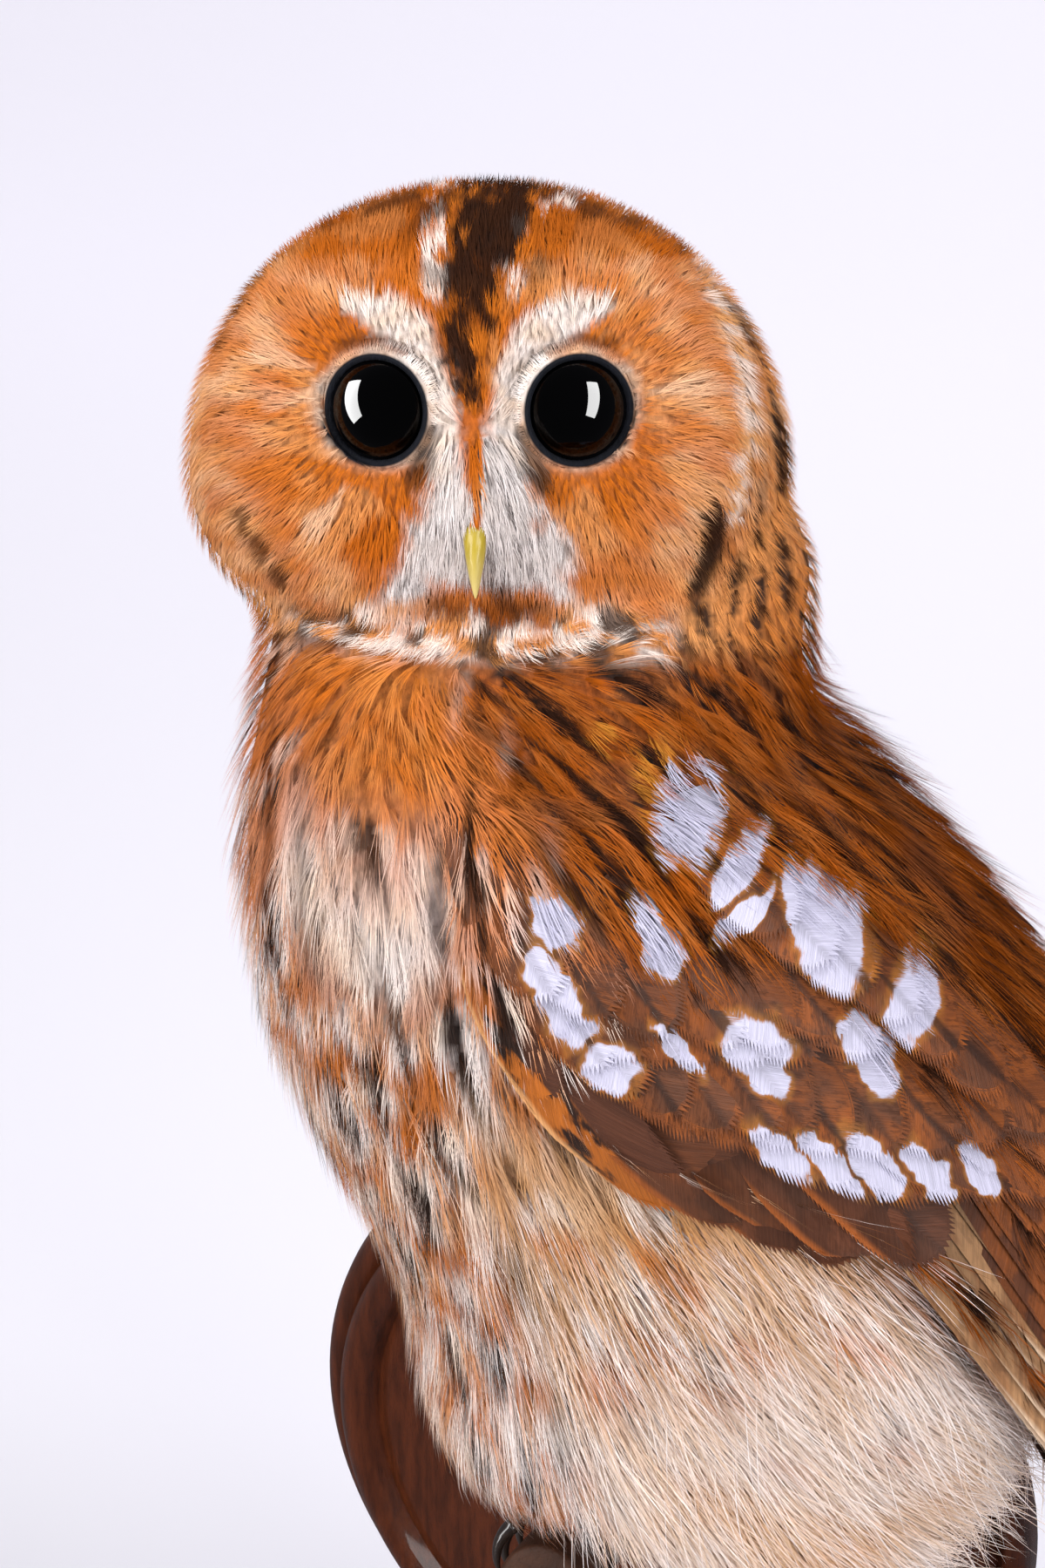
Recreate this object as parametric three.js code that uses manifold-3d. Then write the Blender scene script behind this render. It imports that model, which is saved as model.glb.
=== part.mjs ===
// A tawny owl, mounted life size on a peg that stands out of a round wall plaque.
// Millimetres, +Z up. The origin is the centre of the plaque's flat back, which lies
// against the wall: the wall is the plane y = 0, and the owl is in front of it, at -Y.
// The solids reach out to the tips of the plumage; nothing moves.
import * as THREE from "three";
import { mergeVertices } from "three/addons/utils/BufferGeometryUtils.js";
import Module from "manifold-3d";

const wasm = await Module();
wasm.setup();

// ---------------------------------------------------------------- driving sizes
const GAP = 0.4; // clearance left between solids that touch
const PLAQUE_RADIUS = 97;
const PLAQUE_THICKNESS = 20;
const FIELD_DEPTH = 17; // of the plaque at its flat middle
const PERCH_ROOT = new THREE.Vector3(6, -18, 20);
const PERCH_END = new THREE.Vector3(19, -125, 65);
const PERCH_RADIUS = 9.2;

const BODY_YAW = 18; // degrees that the breast is turned out from the wall
const BODY_AT = new THREE.Vector3(10, -100, 0); // where the owl's mid-plane stands
const LEAN = 36; // degrees of the back and tail from upright
const SHOULDER = [0, 262]; // forward, up: where the lean starts, at the base of the neck
const TAIL_TIP = 303; // distance of the tail's tip down the lean from the shoulder
const WING_TIP = 287;

const HEAD_AT = new THREE.Vector3(13.2, -9.4, 310.8); // forward, left, up: between the eyes, mid-skull
const HEAD_YAW = 93.5; // degrees that the face is turned to the owl's left
const HEAD_PITCH = 11; // degrees that it looks up
const HEAD_ROLL = -1;
const HEAD_WIDTH = 111;
const CROWN_RISE = 52; // from the widest level of the head up to the crown
const CHIN_DROP = 36;
const FACE_DEPTH = 31; // from mid-skull forward to the facial disc
const NAPE_DEPTH = 49;
const WIDEST_BELOW_EYES = 14;

const EYE_SPACING = 31.6; // centre to centre
const EYE_RADIUS = 10.4;
const EYE_FORWARD = 21.8; // of the eyeball's centre, from mid-skull
const EYE_TURN = 17; // degrees that each eye looks outwards
const BILL_ROOT = [0, -11, 31]; // in the head: right, up, forward
const BILL_TIP = [0, -31, 37];
const BILL_HALF_WIDTH = 2.6;
const BILL_DEPTH = 6.5;

const FEET_MIDDLE = -3; // of the two feet, left of the mid-plane
const FOOT_SPREAD = 15; // each foot from there
const TOE_RADIUS = 3.4;
const CLAW_RADIUS = 2.1;
const CLAW_LENGTH = 12.5;

// ---------------------------------------------------------------- small tools
const rad = THREE.MathUtils.degToRad;
const clamp01 = (x) => Math.min(1, Math.max(0, x));
const smooth = (x) => clamp01(x) ** 2 * (3 - 2 * clamp01(x));

// A smooth function of one number, through named stations of [at, value].
function through(stations) {
  return (x) => {
    if (x <= stations[0][0]) return stations[0][1];
    const last = stations.length - 1;
    if (x >= stations[last][0]) return stations[last][1];
    const i = stations.findIndex((s) => s[0] > x) - 1;
    const [p, q] = [stations[i], stations[i + 1]];
    const slope = (a, b) => (b[1] - a[1]) / (b[0] - a[0]);
    const into = i > 0 ? slope(stations[i - 1], q) : slope(p, q);
    const out = i + 2 <= last ? slope(p, stations[i + 2]) : slope(p, q);
    const step = q[0] - p[0];
    const t = (x - p[0]) / step;
    return (
      p[1] * (1 + 2 * t) * (1 - t) ** 2 +
      step * into * t * (1 - t) ** 2 +
      q[1] * t * t * (3 - 2 * t) +
      step * out * t * t * (t - 1)
    );
  };
}

// A geometry whose points have each been moved by a function of the point.
function shaped(geometry, place) {
  const at = geometry.attributes.position;
  const p = new THREE.Vector3();
  for (let i = 0; i < at.count; i++) {
    p.fromBufferAttribute(at, i);
    at.setXYZ(i, ...place(p));
  }
  return geometry;
}

// A closed geometry as a solid that can be joined and cut.
function solid(geometry) {
  for (const name of ["normal", "uv"]) geometry.deleteAttribute(name);
  const merged = mergeVertices(geometry, 1e-3);
  const vertProperties = merged.attributes.position.array;
  const triVerts = new Uint32Array(merged.index.array);
  const made = new wasm.Manifold(new wasm.Mesh({ numProp: 3, vertProperties, triVerts }));
  if (made.volume() > 0) return made;
  triVerts.reverse(); // a mirrored shape has its faces turned back outwards
  return new wasm.Manifold(new wasm.Mesh({ numProp: 3, vertProperties, triVerts }));
}

// The largest single body of a solid, as a named mesh.
function meshOf(made, name, material) {
  const bodies = made.decompose();
  bodies.sort((a, b) => b.volume() - a.volume());
  const got = bodies[0].getMesh();
  const geometry = new THREE.BufferGeometry();
  const points = new Float32Array(got.numVert * 3);
  for (let i = 0; i < got.numVert; i++)
    points.set(got.vertProperties.subarray(i * got.numProp, i * got.numProp + 3), i * 3);
  geometry.setAttribute("position", new THREE.BufferAttribute(points, 3));
  geometry.setIndex(new THREE.BufferAttribute(got.triVerts, 1));
  geometry.computeVertexNormals();
  const mesh = new THREE.Mesh(geometry, material);
  mesh.name = name;
  return mesh;
}

const finish = (color, roughness) =>
  new THREE.MeshStandardMaterial({ color, roughness, metalness: 0 });
const PLUMAGE = finish(0xb5652a, 0.8);
const BELLY = finish(0xd9b48c, 0.85);
const FLIGHT = finish(0x7a4524, 0.7);
const GLASS = finish(0x050507, 0.05);
const HORN = finish(0xc9a63a, 0.4);
const CLAW = finish(0x1b1512, 0.35);
const DARK_WOOD = finish(0x35180f, 0.35);

// ---------------------------------------------------------------- the owl's frame
// Inside the owl, x runs forward (towards the breast), y to the owl's left and z up.
const owl = new THREE.Group();
owl.position.copy(BODY_AT);
owl.rotation.z = rad(180 + BODY_YAW);
owl.updateMatrixWorld(true);
const intoOwl = owl.matrixWorld.clone().invert();

// Down the lean: along runs from the shoulder to the tail, rise is towards the back.
const along = new THREE.Vector2(-Math.sin(rad(LEAN)), -Math.cos(rad(LEAN)));
const rise = new THREE.Vector2(-Math.cos(rad(LEAN)), Math.sin(rad(LEAN)));
const leanPoint = (a, h) => [
  SHOULDER[0] + a * along.x + h * rise.x,
  SHOULDER[1] + a * along.y + h * rise.y,
];
const leanOf = (forward, up) => {
  const d = new THREE.Vector2(forward - SHOULDER[0], up - SHOULDER[1]);
  return [d.dot(along), d.dot(rise)];
};

// ---------------------------------------------------------------- trunk and neck
// Level slices: the front and back of the plumage and its half width, at each height.
const TRUNK_TOP = 312;
const NECK_ROUND = 288; // from here up the slices close, inside the head
const TRUNK_FOOT = 65;
const UNDERSIDE_FALL = 0.3; // how steeply the underside falls towards the tail
const UNDERSIDE_ARCH = 9; // and how much higher it is over the feet
const breast = through([
  [65, 4], [70, 18], [80, 25], [94, 28], [112, 29], [132, 32], [150, 39],
  [168, 49], [198, 59], [225, 61.5], [248, 60], [262, 56.5], [275, 55], [288, 54.5], [301, 50],
]);
const back = through([
  [65, -56], [70, -68], [80, -81], [94, -92], [112, -101], [132, -108], [150, -111],
  [175, -106], [205, -93.5], [225, -79], [246, -61], [255, -51], [262, -48.5],
  [275, -49], [301, -45],
]);
const leftFlank = through([
  [65, 30], [76, 40], [92, 45], [120, 48], [160, 53],
  [205, 56], [240, 54], [256, 48], [264, 41], [275, 30], [288, 22], [301, 18],
]);
const rightFlank = through([
  [65, 30], [76, 40], [92, 45], [120, 48], [160, 53],
  [205, 56], [240, 54], [262, 50], [275, 48], [301, 45],
]);
const NECK_BASE = 248; // the level cut that parts the neck from the trunk
const SLICE_POWER = 2.25; // 2 is an ellipse; more is fuller at its corners

// How far the trunk reaches sideways at a place seen from the side.
function trunkSide(forward, up) {
  const middle = (breast(up) + back(up)) / 2;
  const half = (breast(up) - back(up)) / 2;
  const off = Math.min(1, Math.abs((forward - middle) / half));
  return rightFlank(up) * (1 - off ** SLICE_POWER) ** (1 / SLICE_POWER);
}

// The lowest slices are tilted: the underside is highest in front, over the feet.
const underside = (forward, up) => {
  const arch = UNDERSIDE_ARCH * Math.exp(-(((forward + 8) / 24) ** 2));
  return ((forward + 30) * UNDERSIDE_FALL + arch) * smooth((125 - up) / 60);
};

function trunkSolid(grow) {
  const ball = new THREE.SphereGeometry(1, 26, 18);
  return solid(
    shaped(ball, (p) => {
      // the sphere's own axis, y, becomes the height; its ends close the slices
      const level = Math.asin(THREE.MathUtils.clamp(p.y, -1, 1)) / (Math.PI / 2);
      const up = THREE.MathUtils.lerp(TRUNK_FOOT, TRUNK_TOP, (level + 1) / 2);
      const reach = Math.hypot(p.x, p.z);
      if (reach < 1e-6) {
        const middle = (breast(up) + back(up)) / 2;
        return [middle, 0, up + underside(middle, up) + grow * Math.sign(level)];
      }
      const [c, s] = [p.x / reach, p.z / reach];
      const round = (x) => Math.sign(x) * Math.abs(x) ** (2 / SLICE_POWER);
      const over = Math.max(0, (up - NECK_ROUND) / (TRUNK_TOP - NECK_ROUND));
      const close = Math.sqrt(1 - over ** 2);
      const half = ((breast(up) - back(up)) / 2) * close + grow;
      const forward = (breast(up) + back(up)) / 2 + half * round(c);
      const flank = (s < 0 ? leftFlank(up) : rightFlank(up)) * close + grow;
      return [forward, flank * round(-s), up + underside(forward, up)];
    }),
  );
}

// ---------------------------------------------------------------- head
const headMatrix = new THREE.Matrix4()
  .makeTranslation(HEAD_AT.x, HEAD_AT.y, HEAD_AT.z)
  .multiply(new THREE.Matrix4().makeRotationZ(rad(HEAD_YAW)))
  .multiply(new THREE.Matrix4().makeRotationY(rad(-HEAD_PITCH)))
  .multiply(new THREE.Matrix4().makeRotationX(rad(-HEAD_ROLL)));
// In the head, x runs right as seen by someone facing it, y up and z out of the face.
headMatrix.multiply(
  new THREE.Matrix4().makeBasis(
    new THREE.Vector3(0, 1, 0),
    new THREE.Vector3(0, 0, 1),
    new THREE.Vector3(1, 0, 0),
  ),
);

const bell = (x, width) => Math.exp(-((x / width) ** 2));

// The relief of the face: a ridge down the forehead and bill, hollows round the eyes
// and the raised rim of the facial disc.
function faceRelief(x, y) {
  const eye = EYE_SPACING / 2;
  const ridge = 6 * bell(x, 9) * bell(y + 12, 26);
  const socket = -3.4 * (bell(x - eye, 11) + bell(x + eye, 11)) * bell(y, 12);
  const rim = Math.hypot(x / 44, (y + 1) / 37);
  return ridge + socket + 1.6 * bell(rim - 1, 0.16);
}

function headSolid(grow) {
  const ball = new THREE.SphereGeometry(1, 28, 18);
  return solid(
    shaped(ball, (p) => {
      const face = Math.max(0, p.z);
      const x = (HEAD_WIDTH / 2 + grow) * Math.sign(p.x) * Math.abs(p.x) ** 0.96;
      const y = (p.y > 0 ? CROWN_RISE : CHIN_DROP) * p.y + grow * p.y - WIDEST_BELOW_EYES;
      const z = p.z > 0 ? (FACE_DEPTH + grow) * face ** 0.62 : (NAPE_DEPTH + grow) * p.z;
      return [x, y, z + faceRelief(x, y) * smooth(face * 2.2)];
    }),
  ).transform([...headMatrix.elements]);
}

// An eyeball, or with grow the socket that it sits in.
function eyeSolid(side, grow) {
  const ball = new THREE.SphereGeometry(EYE_RADIUS + grow, 14, 10);
  ball.rotateX(Math.PI / 2);
  ball.rotateY(rad(side * EYE_TURN));
  ball.translate((side * EYE_SPACING) / 2, 0, EYE_FORWARD);
  return solid(ball.applyMatrix4(headMatrix));
}

// The bill: a narrow hook that curves down out of the face.
function billSolid(grow) {
  const cone = new THREE.CylinderGeometry(1, 1, 1, 8, 5);
  return solid(
    shaped(cone, (p) => {
      const t = 0.5 - p.y; // 0 at the root, 1 at the tip
      const width = (BILL_HALF_WIDTH + grow) * (1 - t ** 2.2) + 0.25;
      const depth = (BILL_DEPTH + grow) * (1 - 0.55 * t - 0.4 * t ** 6);
      const hook = 4.2 * Math.sin(Math.PI * Math.min(1, t * 0.9));
      const middle = THREE.MathUtils.lerp(BILL_ROOT[2], BILL_TIP[2] - 3, t) + hook;
      return [
        p.x * width,
        THREE.MathUtils.lerp(BILL_ROOT[1], BILL_TIP[1], t),
        middle - depth / 2 + (p.z * depth) / 2,
      ];
    }).applyMatrix4(headMatrix),
  );
}

// ---------------------------------------------------------------- wings
// The wing seen from the side, as its lower and upper edge in the lean's own measure.
const WING_START = 2;
const wingLow = through([
  [2, -14], [12, -23], [30, -28], [58, -28], [74, -21], [86, -10], [104, 0],
  [120, 5], [150, 6], [193, 3], [240, 0], [287, -1],
]);
const wingHigh = through([
  [2, -8], [14, 12], [40, 30], [80, 39], [110, 42], [150, 37.5], [190, 28.5],
  [230, 18.8], [265, 11], [287, 5],
]);
// The folded wings make a vault over the rump and tail: its top and half width.
const vaultTop = through([
  [0, 34], [60, 43], [110, 44], [150, 39], [190, 30], [230, 20], [265, 12], [290, 6],
]);
const vaultHalf = through([
  [0, 44], [60, 56], [110, 58], [150, 52], [190, 43], [230, 35], [265, 28], [290, 22],
]);
const VAULT_MIDDLE = -14; // rise at which the vault is widest
const WING_STAND = 6; // how far the wing's lower edge stands out from the trunk
const WING_SKIN = 1.4; // how far its upper edge does
const TIP_COAT = 3.2; // thickness of the wing beyond the trunk

function wingOutside(a, h) {
  const [forward, up] = leanPoint(a, h);
  const reach = h > VAULT_MIDDLE ? vaultTop(a) - VAULT_MIDDLE : 95;
  const off = Math.min(0.999, Math.abs((h - VAULT_MIDDLE) / reach));
  const vault = vaultHalf(a) * Math.sqrt(1 - off ** 2);
  const fade = smooth((a - WING_START) / 16) * smooth((wingHigh(a) - h) / 16);
  return Math.max(vault, trunkSide(forward, up) + WING_SKIN + (WING_STAND - WING_SKIN) * fade);
}

function wingSolid(side) {
  const slab = new THREE.BoxGeometry(1, 1, 1, 20, 6, 1);
  return solid(
    shaped(slab, (p) => {
      const a = THREE.MathUtils.lerp(WING_START, WING_TIP, p.x + 0.5);
      const h = THREE.MathUtils.lerp(wingLow(a), wingHigh(a), p.y + 0.5);
      const thin = 1 - (2 * Math.abs(p.y)) ** 4 * 0.5;
      const coat = THREE.MathUtils.lerp(WING_STAND + 6, TIP_COAT * thin, smooth((a - 110) / 80));
      const outside = wingOutside(a, h);
      const [forward, up] = leanPoint(a, h);
      return [forward, side * (p.z > 0 ? outside : Math.max(1.2, outside - coat)), up];
    }),
  );
}

// ---------------------------------------------------------------- tail
const TAIL_ROOT = 150;
const TAIL_HALF_WIDTH = 26;
const tailRise = through([[150, 3], [200, -4], [250, -8], [303, -9]]);

function tailSolid() {
  const slab = new THREE.BoxGeometry(1, 1, 1, 8, 10, 1);
  return solid(
    shaped(slab, (p) => {
      const t = p.x + 0.5;
      const across = 2 * p.y;
      const tip = TAIL_TIP - 9 * across ** 4 - 3 * across ** 2;
      const a = THREE.MathUtils.lerp(TAIL_ROOT, tip, t);
      const half = THREE.MathUtils.lerp(TAIL_HALF_WIDTH * 0.7, TAIL_HALF_WIDTH, smooth(t * 1.5));
      const thick = THREE.MathUtils.lerp(13, 3.4, smooth(t * 1.2)) * (1 - 0.3 * across ** 4);
      const h = tailRise(a) - 3.5 * across ** 2 + p.z * thick;
      const [forward, up] = leanPoint(a, h);
      return [forward, across * half, up];
    }),
  );
}

// ---------------------------------------------------------------- legs and claws
// The perch in the owl's own frame.
const perchRoot = PERCH_ROOT.clone().applyMatrix4(intoOwl);
const perchEnd = PERCH_END.clone().applyMatrix4(intoOwl);
const perchWay = perchEnd.clone().sub(perchRoot).normalize();
const perchAcross = new THREE.Vector3(1, 0, 0).addScaledVector(perchWay, -perchWay.x).normalize();
const perchUp = perchWay.clone().cross(perchAcross).normalize();
if (perchUp.z < 0) perchUp.negate();

// A point on the perch: left is its distance left of the mid-plane, turn its angle
// from the top towards the front, and out its distance from the perch's axis.
function roundPerch(left, turn, out) {
  const t = (left - perchRoot.y) / perchWay.y;
  return perchRoot
    .clone()
    .addScaledVector(perchWay, t)
    .addScaledVector(perchUp, Math.cos(rad(turn)) * out)
    .addScaledVector(perchAcross, Math.sin(rad(turn)) * out);
}

const footLeft = (side) => FEET_MIDDLE + side * FOOT_SPREAD;

// Four toes to a foot: [start across the foot, end across it, how far round they reach].
const TOES = [
  [-2.5, -7, 36],
  [1, 2, 42],
  [3.5, 9, 32],
  [0, -2, -38],
];
const TOE_START = 6; // degrees from the top at which a toe leaves the foot

function toeSolid(side, toe, grow) {
  const [start, end, round] = TOES[toe];
  const points = [0, 0.25, 0.5, 0.75, 1].map((t) => {
    const left = footLeft(side) + side * THREE.MathUtils.lerp(start, end, t);
    const turn = THREE.MathUtils.lerp(TOE_START * Math.sign(round), round, t);
    return roundPerch(left, turn, PERCH_RADIUS + TOE_RADIUS + 0.5 + Math.sin(Math.PI * t));
  });
  const line = new THREE.CatmullRomCurve3(points);
  const section = new THREE.Shape().absarc(0, 0, TOE_RADIUS + grow, 0, 2 * Math.PI);
  const tube = new THREE.ExtrudeGeometry(section, {
    extrudePath: line,
    steps: 3,
    curveSegments: 7,
    bevelEnabled: false,
  });
  const knuckle = new THREE.SphereGeometry(TOE_RADIUS + grow, 7, 5);
  return solid(tube).add(solid(knuckle.translate(...points[0].toArray())));
}

// A claw is a bent horn, from the end of its toe down to the wood of the perch.
function clawSolid(side, toe, grow) {
  const [, end, round] = TOES[toe];
  const way = Math.sign(round);
  const left = footLeft(side) + side * end;
  const perDegree = rad(PERCH_RADIUS + TOE_RADIUS);
  const spine = (t) => {
    const out = PERCH_RADIUS + 0.8 + TOE_RADIUS * (1 - t ** 2);
    return roundPerch(left + side * t, round + way * (2 + (t * CLAW_LENGTH) / perDegree), out);
  };
  const horn = new THREE.CylinderGeometry(0.15, 1, 1, 6, 4);
  return solid(
    shaped(horn, (p) => {
      const t = p.y + 0.5;
      const at = spine(t);
      const ahead = spine(t + 0.02).sub(spine(t - 0.02)).normalize();
      const beside = perchWay.clone().addScaledVector(ahead, -perchWay.dot(ahead)).normalize();
      const outward = ahead.clone().cross(beside);
      const radius = CLAW_RADIUS * (1 - t) ** 0.75 + 0.15 + grow;
      const reach = Math.hypot(p.x, p.z);
      if (reach < 1e-6) return at.toArray();
      at.addScaledVector(outward, (p.x / reach) * radius);
      return at.addScaledVector(beside, (p.z / reach) * radius).toArray();
    }),
  );
}

// The feathered thigh: a lobe set into the trunk, which ends just over the foot.
const THIGH_TOP = 136;
function thighSolid(side, grow) {
  const foot = roundPerch(footLeft(side), 0, PERCH_RADIUS + 3);
  const lobe = new THREE.SphereGeometry(1, 14, 10);
  return solid(
    shaped(lobe, (p) => {
      const up = THREE.MathUtils.lerp(foot.z - grow, THIGH_TOP + grow, (p.y + 1) / 2);
      const high = (up - foot.z) / (THIGH_TOP - foot.z);
      const forward = THREE.MathUtils.lerp(foot.x - 1, 2, high);
      const left = THREE.MathUtils.lerp(foot.y, FEET_MIDDLE + side * 25, smooth(high * 1.3));
      const blunt = Math.max(1e-6, Math.hypot(p.x, p.z)) ** -0.35;
      return [forward + p.x * blunt * (23 + grow), left + p.z * side * blunt * (18 + grow), up];
    }),
  );
}

// ---------------------------------------------------------------- the mount
function perchSolid(grow) {
  const length = PERCH_END.distanceTo(PERCH_ROOT);
  const outline = [
    new THREE.Vector2(0, -8),
    new THREE.Vector2(PERCH_RADIUS * 1.06 + grow, -8),
    new THREE.Vector2(PERCH_RADIUS * 0.97 + grow, length * 0.35),
    new THREE.Vector2(PERCH_RADIUS + grow, length * 0.7),
    new THREE.Vector2(PERCH_RADIUS + grow, length - 2),
    new THREE.Vector2(PERCH_RADIUS - 1.6 + grow, length + grow),
    new THREE.Vector2(0, length + 0.5 + grow),
  ];
  const log = new THREE.LatheGeometry(outline, 20);
  const turn = new THREE.Quaternion().setFromUnitVectors(
    new THREE.Vector3(0, 1, 0),
    PERCH_END.clone().sub(PERCH_ROOT).normalize(),
  );
  log.applyQuaternion(turn).translate(PERCH_ROOT.x, PERCH_ROOT.y, PERCH_ROOT.z);
  return solid(log);
}

// The plaque is turned: a flat field inside two rounded steps, on a flat back.
function plaqueSolid() {
  const arc = (radius, depth, r, from, to) =>
    [0, 0.5, 1].map((t) => {
      const turn = rad(THREE.MathUtils.lerp(from, to, t));
      return new THREE.Vector2(radius + r * Math.cos(turn), depth + r * Math.sin(turn));
    });
  const outline = [
    new THREE.Vector2(0, 0),
    new THREE.Vector2(PLAQUE_RADIUS - 1, 0),
    new THREE.Vector2(PLAQUE_RADIUS, 1),
    new THREE.Vector2(PLAQUE_RADIUS, 7),
    ...arc(PLAQUE_RADIUS - 4.5, 8, 4.2, 0, 130),
    ...arc(PLAQUE_RADIUS - 12.5, PLAQUE_THICKNESS - 5, 5, 20, 150),
    new THREE.Vector2(PLAQUE_RADIUS - 18.5, 15),
    new THREE.Vector2(PLAQUE_RADIUS - 22, FIELD_DEPTH - 0.5),
    new THREE.Vector2(PLAQUE_RADIUS - 24, FIELD_DEPTH),
    new THREE.Vector2(0, FIELD_DEPTH),
  ];
  return solid(new THREE.LatheGeometry(outline, 40).rotateX(Math.PI));
}

// ---------------------------------------------------------------- putting it together
const SIDES = [
  ["left", 1],
  ["right", -1],
];
const BLOCK = 600;
const blockAbove = (up) =>
  solid(new THREE.BoxGeometry(BLOCK, BLOCK, BLOCK).translate(0, 0, up + BLOCK / 2));
const blockBeside = (side, middle) => {
  const left = middle + (side * (BLOCK + GAP)) / 2;
  return solid(new THREE.BoxGeometry(BLOCK, BLOCK, BLOCK).translate(0, left, 0));
};

const root = new THREE.Group();
root.add(owl);

const headRoom = headSolid(GAP);
let head = headSolid(0).subtract(billSolid(GAP));
for (const [name, side] of SIDES) {
  head = head.subtract(eyeSolid(side, GAP));
  owl.add(meshOf(eyeSolid(side, 0), "eye_" + name, GLASS));
}
owl.add(meshOf(head, "head", PLUMAGE));
owl.add(meshOf(billSolid(0), "bill", HORN));

const body = trunkSolid(0).subtract(headRoom);
owl.add(meshOf(body.intersect(blockAbove(NECK_BASE + GAP)), "neck", PLUMAGE));
let trunk = body.subtract(blockAbove(NECK_BASE));

const perchRoom = perchSolid(GAP).transform([...intoOwl.elements]);
for (const [name, side] of SIDES) {
  let leg = thighSolid(side, 0).intersect(blockBeside(side, FEET_MIDDLE));
  trunk = trunk.subtract(thighSolid(side, GAP));
  TOES.forEach((_, toe) => {
    leg = leg.add(toeSolid(side, toe, 0));
    trunk = trunk.subtract(toeSolid(side, toe, GAP));
  });
  TOES.forEach((_, toe) => {
    leg = leg.subtract(clawSolid(side, toe, GAP));
    owl.add(meshOf(clawSolid(side, toe, 0), "claw_" + name + "_" + (toe + 1), CLAW));
  });
  owl.add(meshOf(leg.subtract(perchRoom), "leg_" + name, BELLY));
  const wing = wingSolid(side).subtract(trunkSolid(GAP)).subtract(headRoom);
  owl.add(meshOf(wing, "wing_" + name, FLIGHT));
}
owl.add(meshOf(trunk.subtract(perchRoom), "trunk", BELLY));
owl.add(meshOf(tailSolid().subtract(trunkSolid(GAP)), "tail", FLIGHT));

const plaqueRoom = solid(
  new THREE.BoxGeometry(BLOCK, BLOCK, BLOCK).translate(0, BLOCK / 2 - FIELD_DEPTH - GAP, 0),
);
root.add(meshOf(perchSolid(0).subtract(plaqueRoom), "perch", DARK_WOOD));
root.add(meshOf(plaqueSolid(), "plaque", DARK_WOOD));

export default root;
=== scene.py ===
# %% [markdown]
# A tawny owl, stuffed and mounted, that grips a short wooden peg on a round wall plaque.
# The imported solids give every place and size. This script dresses them: one skin under the
# whole bird, feathers of real mesh over it, glass eyes, horn bill and claws, and turned wood.

# %% The fixed frame
import math

import bpy
import numpy as np
from mathutils import Matrix, Vector
from mathutils.bvhtree import BVHTree


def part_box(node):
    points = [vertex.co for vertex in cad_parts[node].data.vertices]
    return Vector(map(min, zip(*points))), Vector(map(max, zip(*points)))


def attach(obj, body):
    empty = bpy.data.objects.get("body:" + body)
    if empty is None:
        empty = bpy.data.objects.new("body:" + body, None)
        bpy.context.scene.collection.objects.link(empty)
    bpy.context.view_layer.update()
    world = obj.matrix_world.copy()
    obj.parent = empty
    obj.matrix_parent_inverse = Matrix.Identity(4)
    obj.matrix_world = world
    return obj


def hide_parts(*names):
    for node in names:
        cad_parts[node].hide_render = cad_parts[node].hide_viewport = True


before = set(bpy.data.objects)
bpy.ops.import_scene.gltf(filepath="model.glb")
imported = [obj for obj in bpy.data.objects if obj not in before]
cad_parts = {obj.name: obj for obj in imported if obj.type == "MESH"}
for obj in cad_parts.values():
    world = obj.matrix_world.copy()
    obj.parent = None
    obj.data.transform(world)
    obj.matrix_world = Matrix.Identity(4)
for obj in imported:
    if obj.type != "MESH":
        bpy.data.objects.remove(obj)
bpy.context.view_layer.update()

MM = 0.001
print("solids:", sorted(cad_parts))

# %% [markdown]
# The bird is easier to think about in its own measure: millimetres forward to the breast,
# to its left, and up. The head has a measure of its own too: right, up and out of the face,
# counted from the middle of the skull at the level of the eyes.

# %% The owl's own measure
BODY_AT = np.array([10.0, -100.0, 0.0])
BODY_YAW = 18
turn = math.radians(180 + BODY_YAW)
OWL_AXES = np.array([[math.cos(turn), math.sin(turn), 0],
                     [-math.sin(turn), math.cos(turn), 0],
                     [0, 0, 1]])  # rows: forward, left, up

LEAN = math.radians(36)
SHOULDER = np.array([0.0, 262.0])
ALONG = np.array([-math.sin(LEAN), -math.cos(LEAN)])
RISE = np.array([-math.cos(LEAN), math.sin(LEAN)])

HEAD_AT = np.array([13.2, -9.4, 310.8])
HEAD_YAW, HEAD_PITCH, HEAD_ROLL = 93.5, 11, -1
face_turn = (Matrix.Rotation(math.radians(HEAD_YAW), 3, "Z")
             @ Matrix.Rotation(math.radians(-HEAD_PITCH), 3, "Y")
             @ Matrix.Rotation(math.radians(-HEAD_ROLL), 3, "X"))
HEAD_AXES = np.array([face_turn @ Vector(v) for v in ((0, 1, 0), (0, 0, 1), (1, 0, 0))])


def to_owl(world):
    return (np.asarray(world) / MM - BODY_AT) @ OWL_AXES.T


def to_world(owl):
    return (np.asarray(owl) @ OWL_AXES + BODY_AT) * MM


def to_head(owl):
    return (np.asarray(owl) - HEAD_AT) @ HEAD_AXES.T


def from_head(head):
    return np.asarray(head) @ HEAD_AXES + HEAD_AT


def lean_point(a, h):
    """Forward and up of a point a down the lean and h above it."""
    return SHOULDER[0] + a * ALONG[0] + h * RISE[0], SHOULDER[1] + a * ALONG[1] + h * RISE[1]


def lean_of(owl):
    d = owl[..., [0, 2]] - SHOULDER
    return d @ ALONG, d @ RISE


def smooth(x):
    x = np.clip(x, 0, 1)
    return x * x * (3 - 2 * x)


def bell(x, width):
    return np.exp(-((x / width) ** 2))


def unit(v):
    return v / np.maximum(np.linalg.norm(v, axis=-1, keepdims=True), 1e-9)


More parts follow.
